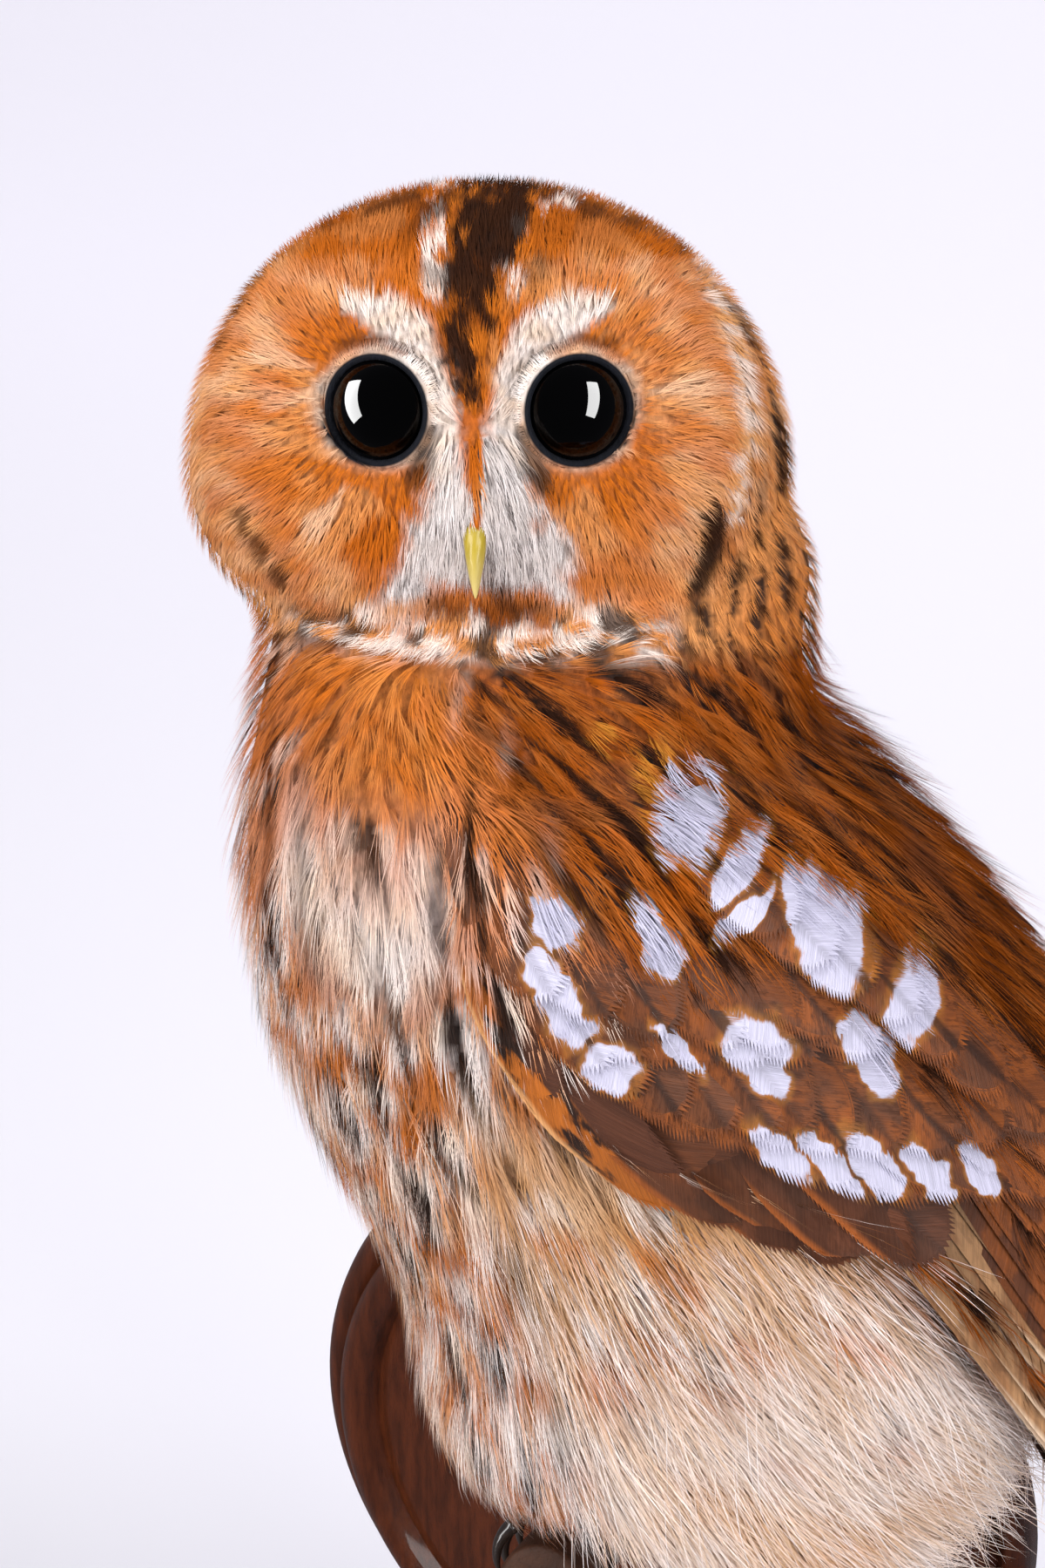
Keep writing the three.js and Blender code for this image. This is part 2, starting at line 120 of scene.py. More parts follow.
def mix(a, b, t):
    """From a to b by t, for numbers, or for rows such as colours and directions."""
    a, b, t = (np.asarray(x, float) for x in (a, b, t))
    rows = any(x.ndim == 2 or (x.ndim == 1 and x.size != t.size) for x in (a, b))
    if t.ndim == 1 and rows:
        t = t[:, None]
    return a * (1 - t) + b * t


print("owl's forward in the world:", OWL_AXES[0].round(3), "face's outward:", HEAD_AXES[2].round(3))

# %% [markdown]
# The camera stands above and to the right of the plaque's middle, and looks down at the
# bird. Its long lens keeps the perspective gentle. Its place could be found by dragging it
# about, but written down as numbers it comes out the same each time.

# %% Camera
CAMERA_AT = Vector((192.8, -505.9, 450.3)) * MM
CAMERA_AZIMUTH, CAMERA_ELEVATION = 25.0, 25.5
LENS_MM, SENSOR_MM = 60, 36

camera_data = bpy.data.cameras.new("camera")
camera_data.lens = LENS_MM
camera_data.sensor_width = SENSOR_MM
camera = bpy.data.objects.new("camera", camera_data)
bpy.context.scene.collection.objects.link(camera)
az, el = math.radians(CAMERA_AZIMUTH), math.radians(CAMERA_ELEVATION)
back = Vector((math.sin(az) * math.cos(el), -math.cos(az) * math.cos(el), math.sin(el)))
right = Vector((math.cos(az), math.sin(az), 0))
camera.matrix_world = Matrix.Translation(CAMERA_AT) @ Matrix(
    (right, back.cross(right), back)).transposed().to_4x4()
bpy.context.scene.camera = camera
print("camera at", [round(x, 3) for x in CAMERA_AT])

# %% [markdown]
# Every finish is a node tree, and its arithmetic reads best as plain expressions. Field wraps
# a socket, so that adding or multiplying two of them adds the Math node that does it.

# %% Shader expressions


class Field:
    """A value that varies over a surface."""

    def __init__(self, finish, socket):
        self.finish, self.socket = finish, socket

    def math(self, operation, *others):
        values = dict(enumerate((self, *others)))
        return self.finish.node("ShaderNodeMath", values, operation=operation)

    def __add__(self, other):
        return self.math("ADD", other)

    def __sub__(self, other):
        return self.math("SUBTRACT", other)

    def __rsub__(self, other):
        return self.finish.node("ShaderNodeMath", {0: other, 1: self}, operation="SUBTRACT")

    def __mul__(self, other):
        return self.math("MULTIPLY", other)

    __radd__ = __add__
    __rmul__ = __mul__

    def abs(self):
        return self.math("ABSOLUTE")

    def sin(self):
        return self.math("SINE")

    def over(self, low, high):
        """0 below low, 1 above high, and smooth between; low may be the larger."""
        values = {"Value": self, "From Min": low, "From Max": high}
        return self.finish.node("ShaderNodeMapRange", values, interpolation_type="SMOOTHSTEP")


# %% A finish under construction


class Finish:
    """A material under construction."""

    def __init__(self, name, **constants):
        self.material = bpy.data.materials.new(name)
        self.material.use_nodes = True
        self.tree = self.material.node_tree
        self.shader = self.tree.nodes["Principled BSDF"]
        for socket, value in constants.items():
            self.shader.inputs[socket.replace("_", " ")].default_value = value

    def link(self, value, socket):
        if isinstance(value, Field):
            self.tree.links.new(value.socket, socket)
        elif isinstance(value, tuple) and len(value) == 3 and socket.type == "RGBA":
            socket.default_value = (*value, 1)
        else:
            socket.default_value = value

    def node(self, kind, values=None, output=0, **settings):
        made = self.tree.nodes.new(kind)
        for setting, value in settings.items():
            setattr(made, setting, value)
        for socket, value in (values or {}).items():
            self.link(value, made.inputs[socket])
        return Field(self, made.outputs[output])

    def place(self):
        return self.node("ShaderNodeTexCoord", output="Object")

    def attribute(self, name, output="Vector"):
        return self.node("ShaderNodeAttribute", output=output, attribute_name=name)

    def part(self, vector, axis):
        return self.node("ShaderNodeSeparateXYZ", {0: vector}, output=axis)

    def vector(self, x, y, z):
        return self.node("ShaderNodeCombineXYZ", {0: x, 1: y, 2: z})

    def stretched(self, vector, scale):
        return self.node("ShaderNodeMapping", {"Vector": vector, "Scale": scale})

    def scaled(self, colour, amount):
        values = {0: colour, "Scale": amount}
        return self.node("ShaderNodeVectorMath", values, operation="SCALE")

    def noise(self, vector, scale, detail=3.0, roughness=0.55):
        values = {"Vector": vector, "Scale": scale, "Detail": detail, "Roughness": roughness}
        return self.node("ShaderNodeTexNoise", values)

    def blend(self, factor, a, b):
        made = self.tree.nodes.new("ShaderNodeMix")
        made.data_type = "RGBA"
        colours = [s for s in made.inputs if s.type == "RGBA"]
        self.link(factor, made.inputs[0])
        self.link(a, colours[0])
        self.link(b, colours[1])
        return Field(self, next(s for s in made.outputs if s.type == "RGBA"))

    def set(self, **sockets):
        for socket, value in sockets.items():
            self.link(value, self.shader.inputs[socket.replace("_", " ")])

    def bump(self, height, distance, strength=1.0):
        values = {"Height": height, "Distance": distance, "Strength": strength}
        self.set(Normal=self.node("ShaderNodeBump", values))


# %% [markdown]
# Small helpers for meshes. An operator acts on all that is selected, so nothing may stay
# selected from the step before. A new primitive gets its name and has its place moved into
# its mesh. A mesh of many like pieces is filled from arrays in one go, because operators
# would take minutes for thousands of feathers.

# %% Mesh helpers


def deselect():
    if bpy.context.object and bpy.context.object.mode != "OBJECT":
        bpy.ops.object.mode_set(mode="OBJECT")
    bpy.ops.object.select_all(action="DESELECT")


def activate(piece):
    deselect()
    piece.select_set(True)
    bpy.context.view_layer.objects.active = piece


def edit_all(piece):
    """Edit mode on one piece, with all of it selected."""
    activate(piece)
    bpy.ops.object.mode_set(mode="EDIT")
    bpy.ops.mesh.select_all(action="SELECT")


def settle(name):
    """Name the new primitive, and move its place and turn into its mesh."""
    piece = bpy.context.object
    piece.name = piece.data.name = name
    bpy.ops.object.transform_apply(location=True, rotation=True, scale=True)
    return piece


def new_piece(name, mesh):
    piece = bpy.data.objects.new(name, mesh)
    bpy.context.scene.collection.objects.link(piece)
    return piece


def apply_modifier(piece, kind, **settings):
    activate(piece)
    modifier = piece.modifiers.new(kind.lower(), kind)
    for setting, value in settings.items():
        setattr(modifier, setting, value)
    bpy.ops.object.modifier_apply(modifier=modifier.name)


def copy_of(nodes, name):
    """One merged mesh made from copies of some solids."""
    deselect()
    for node in nodes:
        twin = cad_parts[node].copy()
        twin.data = twin.data.copy()
        bpy.context.scene.collection.objects.link(twin)
        twin.select_set(True)
        bpy.context.view_layer.objects.active = twin
    bpy.ops.object.join()
    piece = bpy.context.object
    piece.name = piece.data.name = name
    piece.data.materials.clear()
    edit_all(piece)
    bpy.ops.mesh.remove_doubles(threshold=1e-5)
    bpy.ops.object.mode_set(mode="OBJECT")
    return piece


# %% Arrays in and out of a mesh


def coords(mesh, what="co"):
    values = np.empty(len(mesh.vertices) * 3)
    mesh.vertices.foreach_get(what, values)
    return values.reshape(-1, 3)


def store(mesh, name, kind, values):
    """Keep values on a mesh's points, under a name that the finishes read."""
    field = {"FLOAT": "value", "FLOAT_VECTOR": "vector", "FLOAT_COLOR": "color"}[kind]
    mesh.attributes.new(name, kind, "POINT").data.foreach_set(field, values.ravel())


def finish_piece(piece, material, slot, *nodes):
    piece.data.materials.clear()
    piece.data.materials.append(material)
    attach(piece, "root")
    if nodes:
        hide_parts(*nodes)


# %% [markdown]
# Under the feathers a bird has one skin. The flesh solids are copied, joined and remeshed
# into one closed surface, which closes the fine cuts between them. That surface is kept as
# the outline that the feathers' tips reach, and the skin itself is drawn in from it by the
# depth of the coat, which is deep on the belly and thin on the face and the wing tips. A
# skin modelled by hand would be smoother, but it would leave the solids that it stands for.

# %% Outline and skin
FLESH = ["head", "neck", "trunk", "leg_left", "leg_right", "wing_left", "wing_right", "tail"]
SKIN_VOXEL = 0.0018

skin = copy_of(FLESH, "skin")
apply_modifier(skin, "REMESH", mode="VOXEL", voxel_size=SKIN_VOXEL)
apply_modifier(skin, "SMOOTH", factor=0.5, iterations=8)
outline = to_owl(coords(skin.data))
outline_normals = coords(skin.data, "normal") @ OWL_AXES.T
outline_faces = [tuple(f.vertices) for f in skin.data.polygons]
outline_tree = BVHTree.FromPolygons([tuple(p) for p in outline], outline_faces)


# how deep the coat is, in millimetres
BODY_DEPTH, SKULL_DEPTH, FACE_DEPTH, WING_TIP_DEPTH, FOOT_DEPTH = 3.6, 1.2, 0.9, 1.0, 1.6


def coat_depth(owl):
    """The coat's depth over each point."""
    head = to_head(owl)
    a, h = lean_of(owl)
    on_head = smooth((owl[:, 2] - 268) / 22)
    on_face = on_head * smooth((head[:, 2] - 2) / 16)
    free_wing = smooth((a - 140) / 25) * smooth((h + 24) / 14) * (1 - on_head)
    foot = smooth((84 - owl[:, 2]) / 8) * smooth((owl[:, 0] + 34) / 10)
    depth = mix(BODY_DEPTH, SKULL_DEPTH, on_head)
    depth = mix(depth, FACE_DEPTH, on_face)
    depth = mix(depth, WING_TIP_DEPTH, free_wing)
    return mix(depth, FOOT_DEPTH, foot)


drawn_in = outline - outline_normals * coat_depth(outline)[:, None]
skin.data.vertices.foreach_set("co", to_world(drawn_in).ravel())
skin.data.update()
apply_modifier(skin, "SMOOTH", factor=0.5, iterations=4)
print("skin faces:", len(skin.data.polygons), "outline points:", len(outline))

# %% Close-fitting lookups


def nearest(points):
    """The outline's nearest points and outward normals."""
    places, normals = np.empty_like(points), np.empty_like(points)
    for i, p in enumerate(points):
        place, normal, _, _ = outline_tree.find_nearest(p)
        places[i], normals[i] = place, normal
    return places, normals


def on_side(a, h, side):
    """Points of the outline over lean measures a, h, as seen from the owl's left or right."""
    forward, up = lean_point(a, h)
    places, normals = np.empty((len(a), 3)), np.empty((len(a), 3))
    for i, (f, u) in enumerate(zip(forward, up)):
        hit = outline_tree.ray_cast(Vector((f, side * 130, u)), Vector((0, -side, 0)))
        if hit[0] is None or hit[0].y * side < 0.5:
            hit = outline_tree.find_nearest((f, side * 40, u))
        places[i], normals[i] = hit[0], hit[1]
    return places, normals


# %% [markdown]
# Feathers all lie the way they grow: away from the eyes on the face, back over the crown,
# down the neck and breast, and along the folded wings to the tail. Combing guide hairs by
# hand could give the same, but one function that gives the direction anywhere on the bird
# is easy to correct and serves every coat.

# %% The lie of the coat
EYES = np.array([[-15.8, 0.0], [15.8, 0.0]])
DISC_MIDDLE = np.array([-2.5, -2.0])
DISC_HALF = np.array([45.0, 36.0])


def disc_reach(head):
    """1 on the rim of the facial disc, less inside it; its lower half is squarer."""
    q = np.abs(head[:, :2] - DISC_MIDDLE) / DISC_HALF
    power = np.where(head[:, 1] < DISC_MIDDLE[1], 2.5, 2.0)
    return np.sum(q ** power[:, None], axis=1) ** (1 / power)


def lie(owl):
    """Unit directions in the owl's measure; they still have to be laid onto the surface."""
    head = to_head(owl)
    x, y, z = head.T
    reach = disc_reach(head)
    # the face: away from each eye, and up or down from the bill's root between them
    side = np.where(x < 0, -1.0, 1.0)
    eye = EYES[(side > 0).astype(int)]
    from_eye = unit(head[:, :2] - eye)
    parting = unit(np.stack([x * 0.9, y + 3 * np.sign(y + 2)], axis=1))
    parting[:, 1] += np.where(y < -2, -0.6, 0.35)
    near_middle = 1 - smooth((np.abs(x) - 6) / 10)
    near_middle = near_middle * smooth((np.linalg.norm(head[:, :2] - eye, axis=1) - 8.5) / 3 + 0.4)
    flat = unit(mix(from_eye, unit(parting), near_middle))
    face = np.column_stack([flat, 0.05 * np.ones(len(flat))])
    # behind the rim: backwards over the skull and then down
    outward = unit(head[:, :2] - DISC_MIDDLE)
    over = np.column_stack([outward * 0.35, -np.ones(len(x))])
    temple = smooth((np.abs(x) - 24) / 12) * smooth((26 - y) / 12)
    over = mix(over, np.array([0.0, -1.0, -0.35]), np.maximum(smooth((-z - 4) / 34), 0.85 * temple))
    skull = mix(face, unit(over), np.maximum(smooth((reach - 0.93) / 0.14), smooth((6 - z) / 10)))
    skull = skull @ HEAD_AXES
    # the body: down in front, along the lean on the back, further back under the tail
    s, left, up = owl.T
    a, h = lean_of(owl)
    angle = mix(0.10, LEAN, smooth((30 - s) / 60))
    angle = mix(angle, LEAN, smooth((h + 30) / 22))
    vent = smooth((-30 - s) / 70) * smooth((150 - up) / 60)
    angle = mix(angle, 0.95, vent * smooth((-h - 4) / 16))
    angle = mix(angle, 0.12, smooth((120 - up) / 50) * smooth((s + 35) / 30))
    down = np.column_stack([-np.sin(angle), 0.10 * np.sign(left) * bell(up - 250, 30), -np.cos(angle)])
    neck = smooth((up - 262) / 18)
    return unit(mix(down, skull, neck))


def flatten(direction, normal):
    return unit(direction - normal * np.sum(direction * normal, axis=1, keepdims=True))


def midribs(start, normal, length, cling, steps, sway=0.0):
    """Paths over the outline, one a feather, that start at its root and follow the lie."""
    path, normals = [start], [normal]
    heading = flatten(lie(start), normal)
    if np.any(sway):
        aside = np.cross(normal, heading)
        heading = unit(heading + aside * np.asarray(sway)[:, None])
    here = start
    for _ in range(steps):
        ahead = here + heading * (length / steps)[:, None]
        place, surface = nearest(ahead)
        gap = np.sum((ahead - place) * surface, axis=1)
        pull = np.where(gap > 0, np.minimum(gap * cling, 0.5 * length / steps), gap)
        here = ahead - surface * pull[:, None]
        wanted = flatten(lie(here), surface)
        heading = unit(mix(heading, wanted, 0.5 * cling))
        normal = unit(mix(normal, surface, cling))
        path.append(here)
        normals.append(normal)
    return np.stack(path, axis=1), np.stack(normals, axis=1)


# %% [markdown]
# Feathers grow a little apart from each other. A plain random scatter leaves bare spots and
# clumps, so the roots are thrown over the skin like darts that keep a distance from each
# other. The seed is fixed, so every run grows the same coat.

# %% Roots
corners = np.array([f if len(f) == 4 else (*f, f[-1]) for f in outline_faces])
corner_points = outline[corners]
face_areas = 0.5 * np.linalg.norm(np.cross(corner_points[:, 2] - corner_points[:, 0],
                                           corner_points[:, 3] - corner_points[:, 1]), axis=1)

print("surface:", round(face_areas.sum() / 100), "square centimetres")


def roots(seed, spacing, share):
    """Roots at least spacing apart where share(points), from 0 to 1, keeps them."""
    rng = np.random.default_rng(seed)
    tries = int(face_areas.sum() / spacing ** 2 * 5)
    face = rng.choice(len(corners), size=tries, p=face_areas / face_areas.sum())
    s, t = rng.random((2, tries, 1))
    p = corner_points[face]
    points = (p[:, 0] * (1 - s) + p[:, 1] * s) * (1 - t) + (p[:, 3] * (1 - s) + p[:, 2] * s) * t
    points = points[rng.random(tries) < share(points)]
    taken = {}
    kept = []
    limit = spacing ** 2
    for i, (point, cell) in enumerate(zip(points.tolist(), (points // spacing).astype(int).tolist())):
        x, y, z = cell
        clash = False
        for key in ((x + dx, y + dy, z + dz) for dx in (-1, 0, 1) for dy in (-1, 0, 1) for dz in (-1, 0, 1)):
            for q in taken.get(key, ()):
                if (q[0] - point[0]) ** 2 + (q[1] - point[1]) ** 2 + (q[2] - point[2]) ** 2 < limit:
                    clash = True
                    break
            if clash:
                break
        if not clash:
            taken.setdefault((x, y, z), []).append(point)
            kept.append(i)
    return nearest(points[kept])


# %% The wing's outline
WING_LOW = np.array([[2, -14], [12, -23], [30, -28], [58, -28], [74, -21], [86, -10], [104, 0],
                     [120, 5], [150, 6], [193, 3], [240, 0], [287, -1]], float)
WING_HIGH = np.array([[2, -8], [14, 12], [40, 30], [80, 39], [110, 42], [150, 37.5], [190, 28.5],
                      [230, 18.8], [265, 11], [287, 5]], float)


def wing_low(a):
    return np.interp(a, *WING_LOW.T)


def wing_high(a):
    return np.interp(a, *WING_HIGH.T)


print("wing's length:", WING_LOW[-1, 0] - WING_LOW[0, 0], "mm")

# %% [markdown]
# A feather is a shaft with barbs that leave it on both sides. On the soft feathers of the
# body the barbs' ends part and hide the shaft, so they are made as tufts of fine hairs. A
# quill or covert is a firm grid with a fringe of barb ends. A few dozen faces serve every
# feather, and only its path, width and marks differ. On a pattern, u runs across from -1
# to 1, and v along it from root to tip.

# %% Feather patterns


def pattern(points, faces):
    """A pattern's parts: points as u, v, the hair each belongs to and how freely it moves."""
    points, faces = np.array(points, float), np.array(faces)
    a, b, c = (points[faces[:, k]] for k in range(3))
    turned = (b - a)[:, 0] * (c - a)[:, 1] - (b - a)[:, 1] * (c - a)[:, 0] > 0
    faces[turned] = faces[turned][:, ::-1]
    return points[:, :2], faces, points[:, 2].astype(int), points[:, 3]


def hairs(count, seed, thickness, segments, spread=1.0):
    """A tuft of separate fine hairs from one root."""
    rng = np.random.default_rng(seed)
    points, faces = [], []
    for i in range(count):
        aim = spread * (-1 + 2 * (i + 0.5) / count + rng.normal(0, 0.12))
        start, end, bend = rng.uniform(0, 0.25), rng.uniform(0.72, 1.0), rng.normal(0, 0.16)
        for k in range(segments + 1):
            t = k / segments
            v = start + (end - start) * t
            u = aim * (0.18 + 0.82 * t) + bend * t * t
            half = thickness * (1 - 0.75 * t)
            n = len(points)
            points += [(u - half, v, i, t), (u + half, v, i, t)] if k < segments else [(u, v, i, t)]
            if k and k < segments:
                faces += [(n - 2, n - 1, n + 1), (n - 2, n + 1, n)]
            if k == segments:
                faces += [(n - 2, n - 1, n)]
    return pattern(points, faces)


def vane(rows, across, blunt, fringe):
    """A firm closed vane as a grid, with a rounded tip and a fringe of barb ends."""

    def breadth(v):
        body = 0.4 + 0.6 * min(1, v / 0.4) ** 0.8
        return body * math.sqrt(max(0.0, 1 - max(0.0, (v - 1 + blunt) / blunt) ** 2.2))

    points, faces = [], []
    for r in range(rows + 1):
        v = 1 - (1 - r / rows) ** 1.4
        points += [((2 * c / across - 1) * breadth(v), v, 0, 0) for c in range(across + 1)]
    for r in range(rows):
        for c in range(across):
            n = r * (across + 1) + c
            faces += [(n, n + 1, n + across + 2), (n, n + across + 2, n + across + 1)]
        for side, edge in ((-1, r * (across + 1)), (1, r * (across + 1) + across)):
            (u0, v0), (u1, v1) = points[edge][:2], points[edge + across + 1][:2]
            for part in (0.0, 0.33, 0.66):
                first = (u0 + (u1 - u0) * part - side * 0.06, v0 + (v1 - v0) * part)
                last = (first[0] + (u1 - u0) * 0.36, first[1] + (v1 - v0) * 0.36)
                n = len(points)
                end = (last[0] + side * (fringe + 0.06), last[1] + 0.35 * (v1 - v0) + 0.3 * fringe)
                points += [(*first, 1, 0), (*last, 1, 0), (*end, 1, 1)]
                faces.append((n, n + 1, n + 2))
    return pattern(points, faces)


# %% The points of a feather
PATCH = 0.0015  # half the width of a feather's patch on the OFBake map
ROUNDING = 0.35  # how far the shading turns away from a feather's middle at its edges


def lay_out(shape, path, normals, width, camber, depth, lift, roll, strays):
    """Where every point of every feather lies, and the normal that it is shaded with."""
    points, _, strand, free = shape
    count, steps = len(path), path.shape[1] - 1
    ahead = unit(np.gradient(path, axis=1))
    aside = unit(np.cross(normals, ahead))
    out = unit(np.cross(ahead, aside))
    place, shine = np.empty((2, count, len(points), 3))
    for i, (u, v) in enumerate(points):
        k = min(int(v * steps), steps - 1)
        t = v * steps - k
        middle = path[:, k] * (1 - t) + path[:, k + 1] * t
        across = aside[:, k] * (1 - t) + aside[:, k + 1] * t
        above = out[:, k] * (1 - t) + out[:, k + 1] * t
        stray = strays[strand[i]] * width * free[i]
        height = lift * v ** 2 - depth * max(0.0, 1 - v) ** 1.4 - camber * width * u * u
        height = height + roll * u * width + stray[0] * 0.5
        place[:, i] = middle + across * (u * width + stray[1])[:, None] + above * height[:, None]
        shine[:, i] = unit(above + across * (ROUNDING * u - roll)[:, None])
    return place, shine


# %% Growing feathers from a pattern


def mesh_of(name, place, shine, faces):
    """A mesh with the pattern's faces once for every feather."""
    count, size = place.shape[:2]
    triangles = (faces[None] + (np.arange(count) * size)[:, None, None]).reshape(-1, 3)
    mesh = bpy.data.meshes.new(name)
    mesh.vertices.add(count * size)
    mesh.vertices.foreach_set("co", to_world(place.reshape(-1, 3)).ravel())
    mesh.loops.add(len(triangles) * 3)
    mesh.loops.foreach_set("vertex_index", triangles.ravel().astype(np.int32))
    mesh.polygons.add(len(triangles))
    starts = np.arange(0, len(triangles) * 3, 3, dtype=np.int32)
    mesh.polygons.foreach_set("loop_start", starts)
    mesh.polygons.foreach_set("use_smooth", np.full(len(triangles), True))
    mesh.update(calc_edges=True)
    store(mesh, "custom_normal", "FLOAT_VECTOR", shine.reshape(-1, 3) @ OWL_AXES)
    return mesh, triangles


def grow(name, shape, path, normals, width, camber, depth, lift, tones, seed, ruffle=0.0,
         roll=0.0, tilt=0.0, unwrap=None, carry=0.35):
    """One mesh with a feather of the given pattern on every path.

    tones is a function that paints places, or the values of each feather by name. carry
    is how much of the colour at its root a hair keeps. tilt rolls the feathers at random.
    """
    rng = np.random.default_rng(seed)
    points, faces, strand, _ = shape
    count = len(path)
    roll = roll + rng.normal(0, tilt, count)
    strays = rng.normal(0, ruffle, (strand.max() + 1, 2, count))
    width, depth, lift = (np.broadcast_to(np.asarray(w, float), count) for w in (width, depth, lift))
    place, shine = lay_out(shape, path, normals, width, camber, depth, lift, roll, strays)
    mesh, triangles = mesh_of(name, place, shine, faces)
    marks = np.empty((count, len(points), 3))
    marks[:, :, :2] = points
    marks[:, :, 2] = rng.random((count, strand.max() + 1))[:, strand]
    store(mesh, "vane", "FLOAT_VECTOR", marks)
    a, h = lean_of(place)
    beside = smooth((np.abs(place[..., 1]) - 13) / 3) * smooth(a / 4)
    store(mesh, "lean", "FLOAT_VECTOR", np.stack([a, h, beside], axis=-1))
    if callable(tones):
        seen_at = place * (1 - carry) + place[:, :1] * carry
        painted = np.clip(tones(seen_at.reshape(-1, 3)), 0.004, 1)
        store(mesh, "tone", "FLOAT_COLOR", np.column_stack([painted, np.ones(len(painted))]))
    else:
        for key, tone in tones.items():
            kind = "FLOAT" if tone.shape[1] == 1 else "FLOAT_COLOR"
            store(mesh, key, kind, np.repeat(tone[:, None, :], len(points), axis=1))
    spots = unwrap if unwrap is not None else unwrap_body(path[:, 0])
    flat = spots[:, None, :] + (points[None] - [0, 0.5]) * [PATCH, 2 * PATCH]
    layer = mesh.uv_layers.new(name="OFBake")
    layer.data.foreach_set("uv", flat.reshape(-1, 2)[triangles.ravel()].ravel())
    print(name, count, "feathers,", len(triangles), "triangles")
    return new_piece(name, mesh)


# %% Where a feather's colours are kept on the flat map


def unwrap_body(owl):
    """The skin rolled out flat: round the trunk, and up it."""
    round_it = np.arctan2(owl[:, 1], owl[:, 0] - middle_of(owl[:, 2])) / (2 * math.pi) + 0.5
    return np.stack([0.01 + 0.98 * round_it, 0.01 + 0.98 * (owl[:, 2] / 360)], axis=1)


def unwrap_head(owl):
    """The skin of the head pressed flat like a map of a globe, centred on the face."""
    d = unit(to_head(owl) + [0, 8, 8])
    away = np.arccos(np.clip(d[:, 2], -1, 1)) / math.pi
    turned = np.arctan2(d[:, 1], d[:, 0])
    return 0.5 + 0.49 * away[:, None] * np.stack([np.cos(turned), np.sin(turned)], axis=1)


# %% [markdown]
# The colours are named once and shared by the skin and all the feathers. A tawny owl is
# rufous to orange above, cream and white below, with black shafts throughout. The marks are
# worked out for a place on the bird, so that hairs that cross there agree, and a body
# feather's streak and bars are drawn on cells as large as the feather.

# %% Colours
RUFOUS = np.array([0.40, 0.085, 0.006])
ORANGE = np.array([0.56, 0.150, 0.014])
BUFF = np.array([0.70, 0.340, 0.130])
GOLD = np.array([0.62, 0.280, 0.090])
CREAM = np.array([0.82, 0.590, 0.400])
WHITE = np.array([0.86, 0.790, 0.770])
GREY = np.array([0.42, 0.350, 0.310])
BROWN = np.array([0.110, 0.032, 0.010])
CHESTNUT = np.array([0.23, 0.052, 0.006])
BLACK = np.array([0.020, 0.009, 0.006])
SMOKE = np.array([0.090, 0.042, 0.026])
print("white over black:", round(WHITE.mean() / BLACK.mean(), 1))


# %% Uneven fields and feather cells


def patches(owl, seed, size):
    """A soft random field from 0 to 1 over space, for uneven colour."""
    rng = np.random.default_rng(seed)
    waves = rng.normal(0, 1 / size, (12, 3))
    starts = rng.random(12) * 2 * math.pi
    total = sum(np.sin(owl @ w + p) for w, p in zip(waves, starts))
    return 1 / (1 + np.exp(-total / 2.0))


def key_of(column, row, seed):
    return np.abs(np.sin(column * 12.9898 + row * 78.233 + seed * 37.719) * 43758.5453) % 1.0


def cells(across, along, width, length, seed):
    """The place of a point on its feather: across from -0.5 to 0.5, along from 0 to 1, a key."""
    column = np.floor(across / width)
    row = along / length + 0.5 * (column % 2) + 0.35 * key_of(column, 0, seed)
    x, y = across / width - column - 0.5, row - np.floor(row)
    return x, y, key_of(column, np.floor(row), seed)


def shaft(x, y, key, width, share):
    """The dark drop-shaped streak down the middle of most feathers."""
    wide = width * (0.35 + bell(y - 0.6, 0.3)) * smooth(y / 0.25) * smooth((1 - y) / 0.12)
    off = np.abs(x + 0.09 * np.sin(5 * y + 6 * key))
    return smooth((wide - off) / 0.06 + 0.5) * (key < share)


def blotches(x, y, key, seed):
    """A pale blotch on each web of a feather, at its own place and size."""
    side = np.where(x > 0, 1, 0)
    at = 0.30 + 0.35 * key_of(key, side, seed)
    big = 0.11 + 0.12 * key_of(key, side, seed + 1)
    return smooth((1.25 - np.hypot((np.abs(x) - 0.27) / 0.19, (y - at) / big)) / 0.45)


# %% Brushes


class Paint:
    """Colours of some points; every touch lies over the ones before it."""

    def __init__(self, tone):
        self.tone = tone

    def touch(self, colour, amount):
        self.tone = mix(self.tone, colour, amount)


def stroke(head, line, widths):
    """1 on a line drawn over the face through some points, with a half width at each."""
    spot, line = head[:, :2], np.array(line, float)
    best = np.zeros(len(head))
    for a, b, wide_a, wide_b in zip(line[:-1], line[1:], widths[:-1], widths[1:]):
        t = np.clip((spot - a) @ (b - a) / ((b - a) @ (b - a)), 0, 1)
        off = np.linalg.norm(spot - a - t[:, None] * (b - a), axis=1) / mix(wide_a, wide_b, t)
        best = np.maximum(best, smooth((1.3 - off) / 0.6))
    return best * (head[:, 2] > 0)


# %% [markdown]
# The face of the real bird is a disc of fine orange feathers with a pale ring and brow at
# each eye, grey bristles beside the bill, and a rim of short stiff ones. Painting one long
# picture of it would be hard to mend, so each marking is a function of its own, which lays
# its colour over what the ones before it left.

# %% Face: disc, eyes and bristles


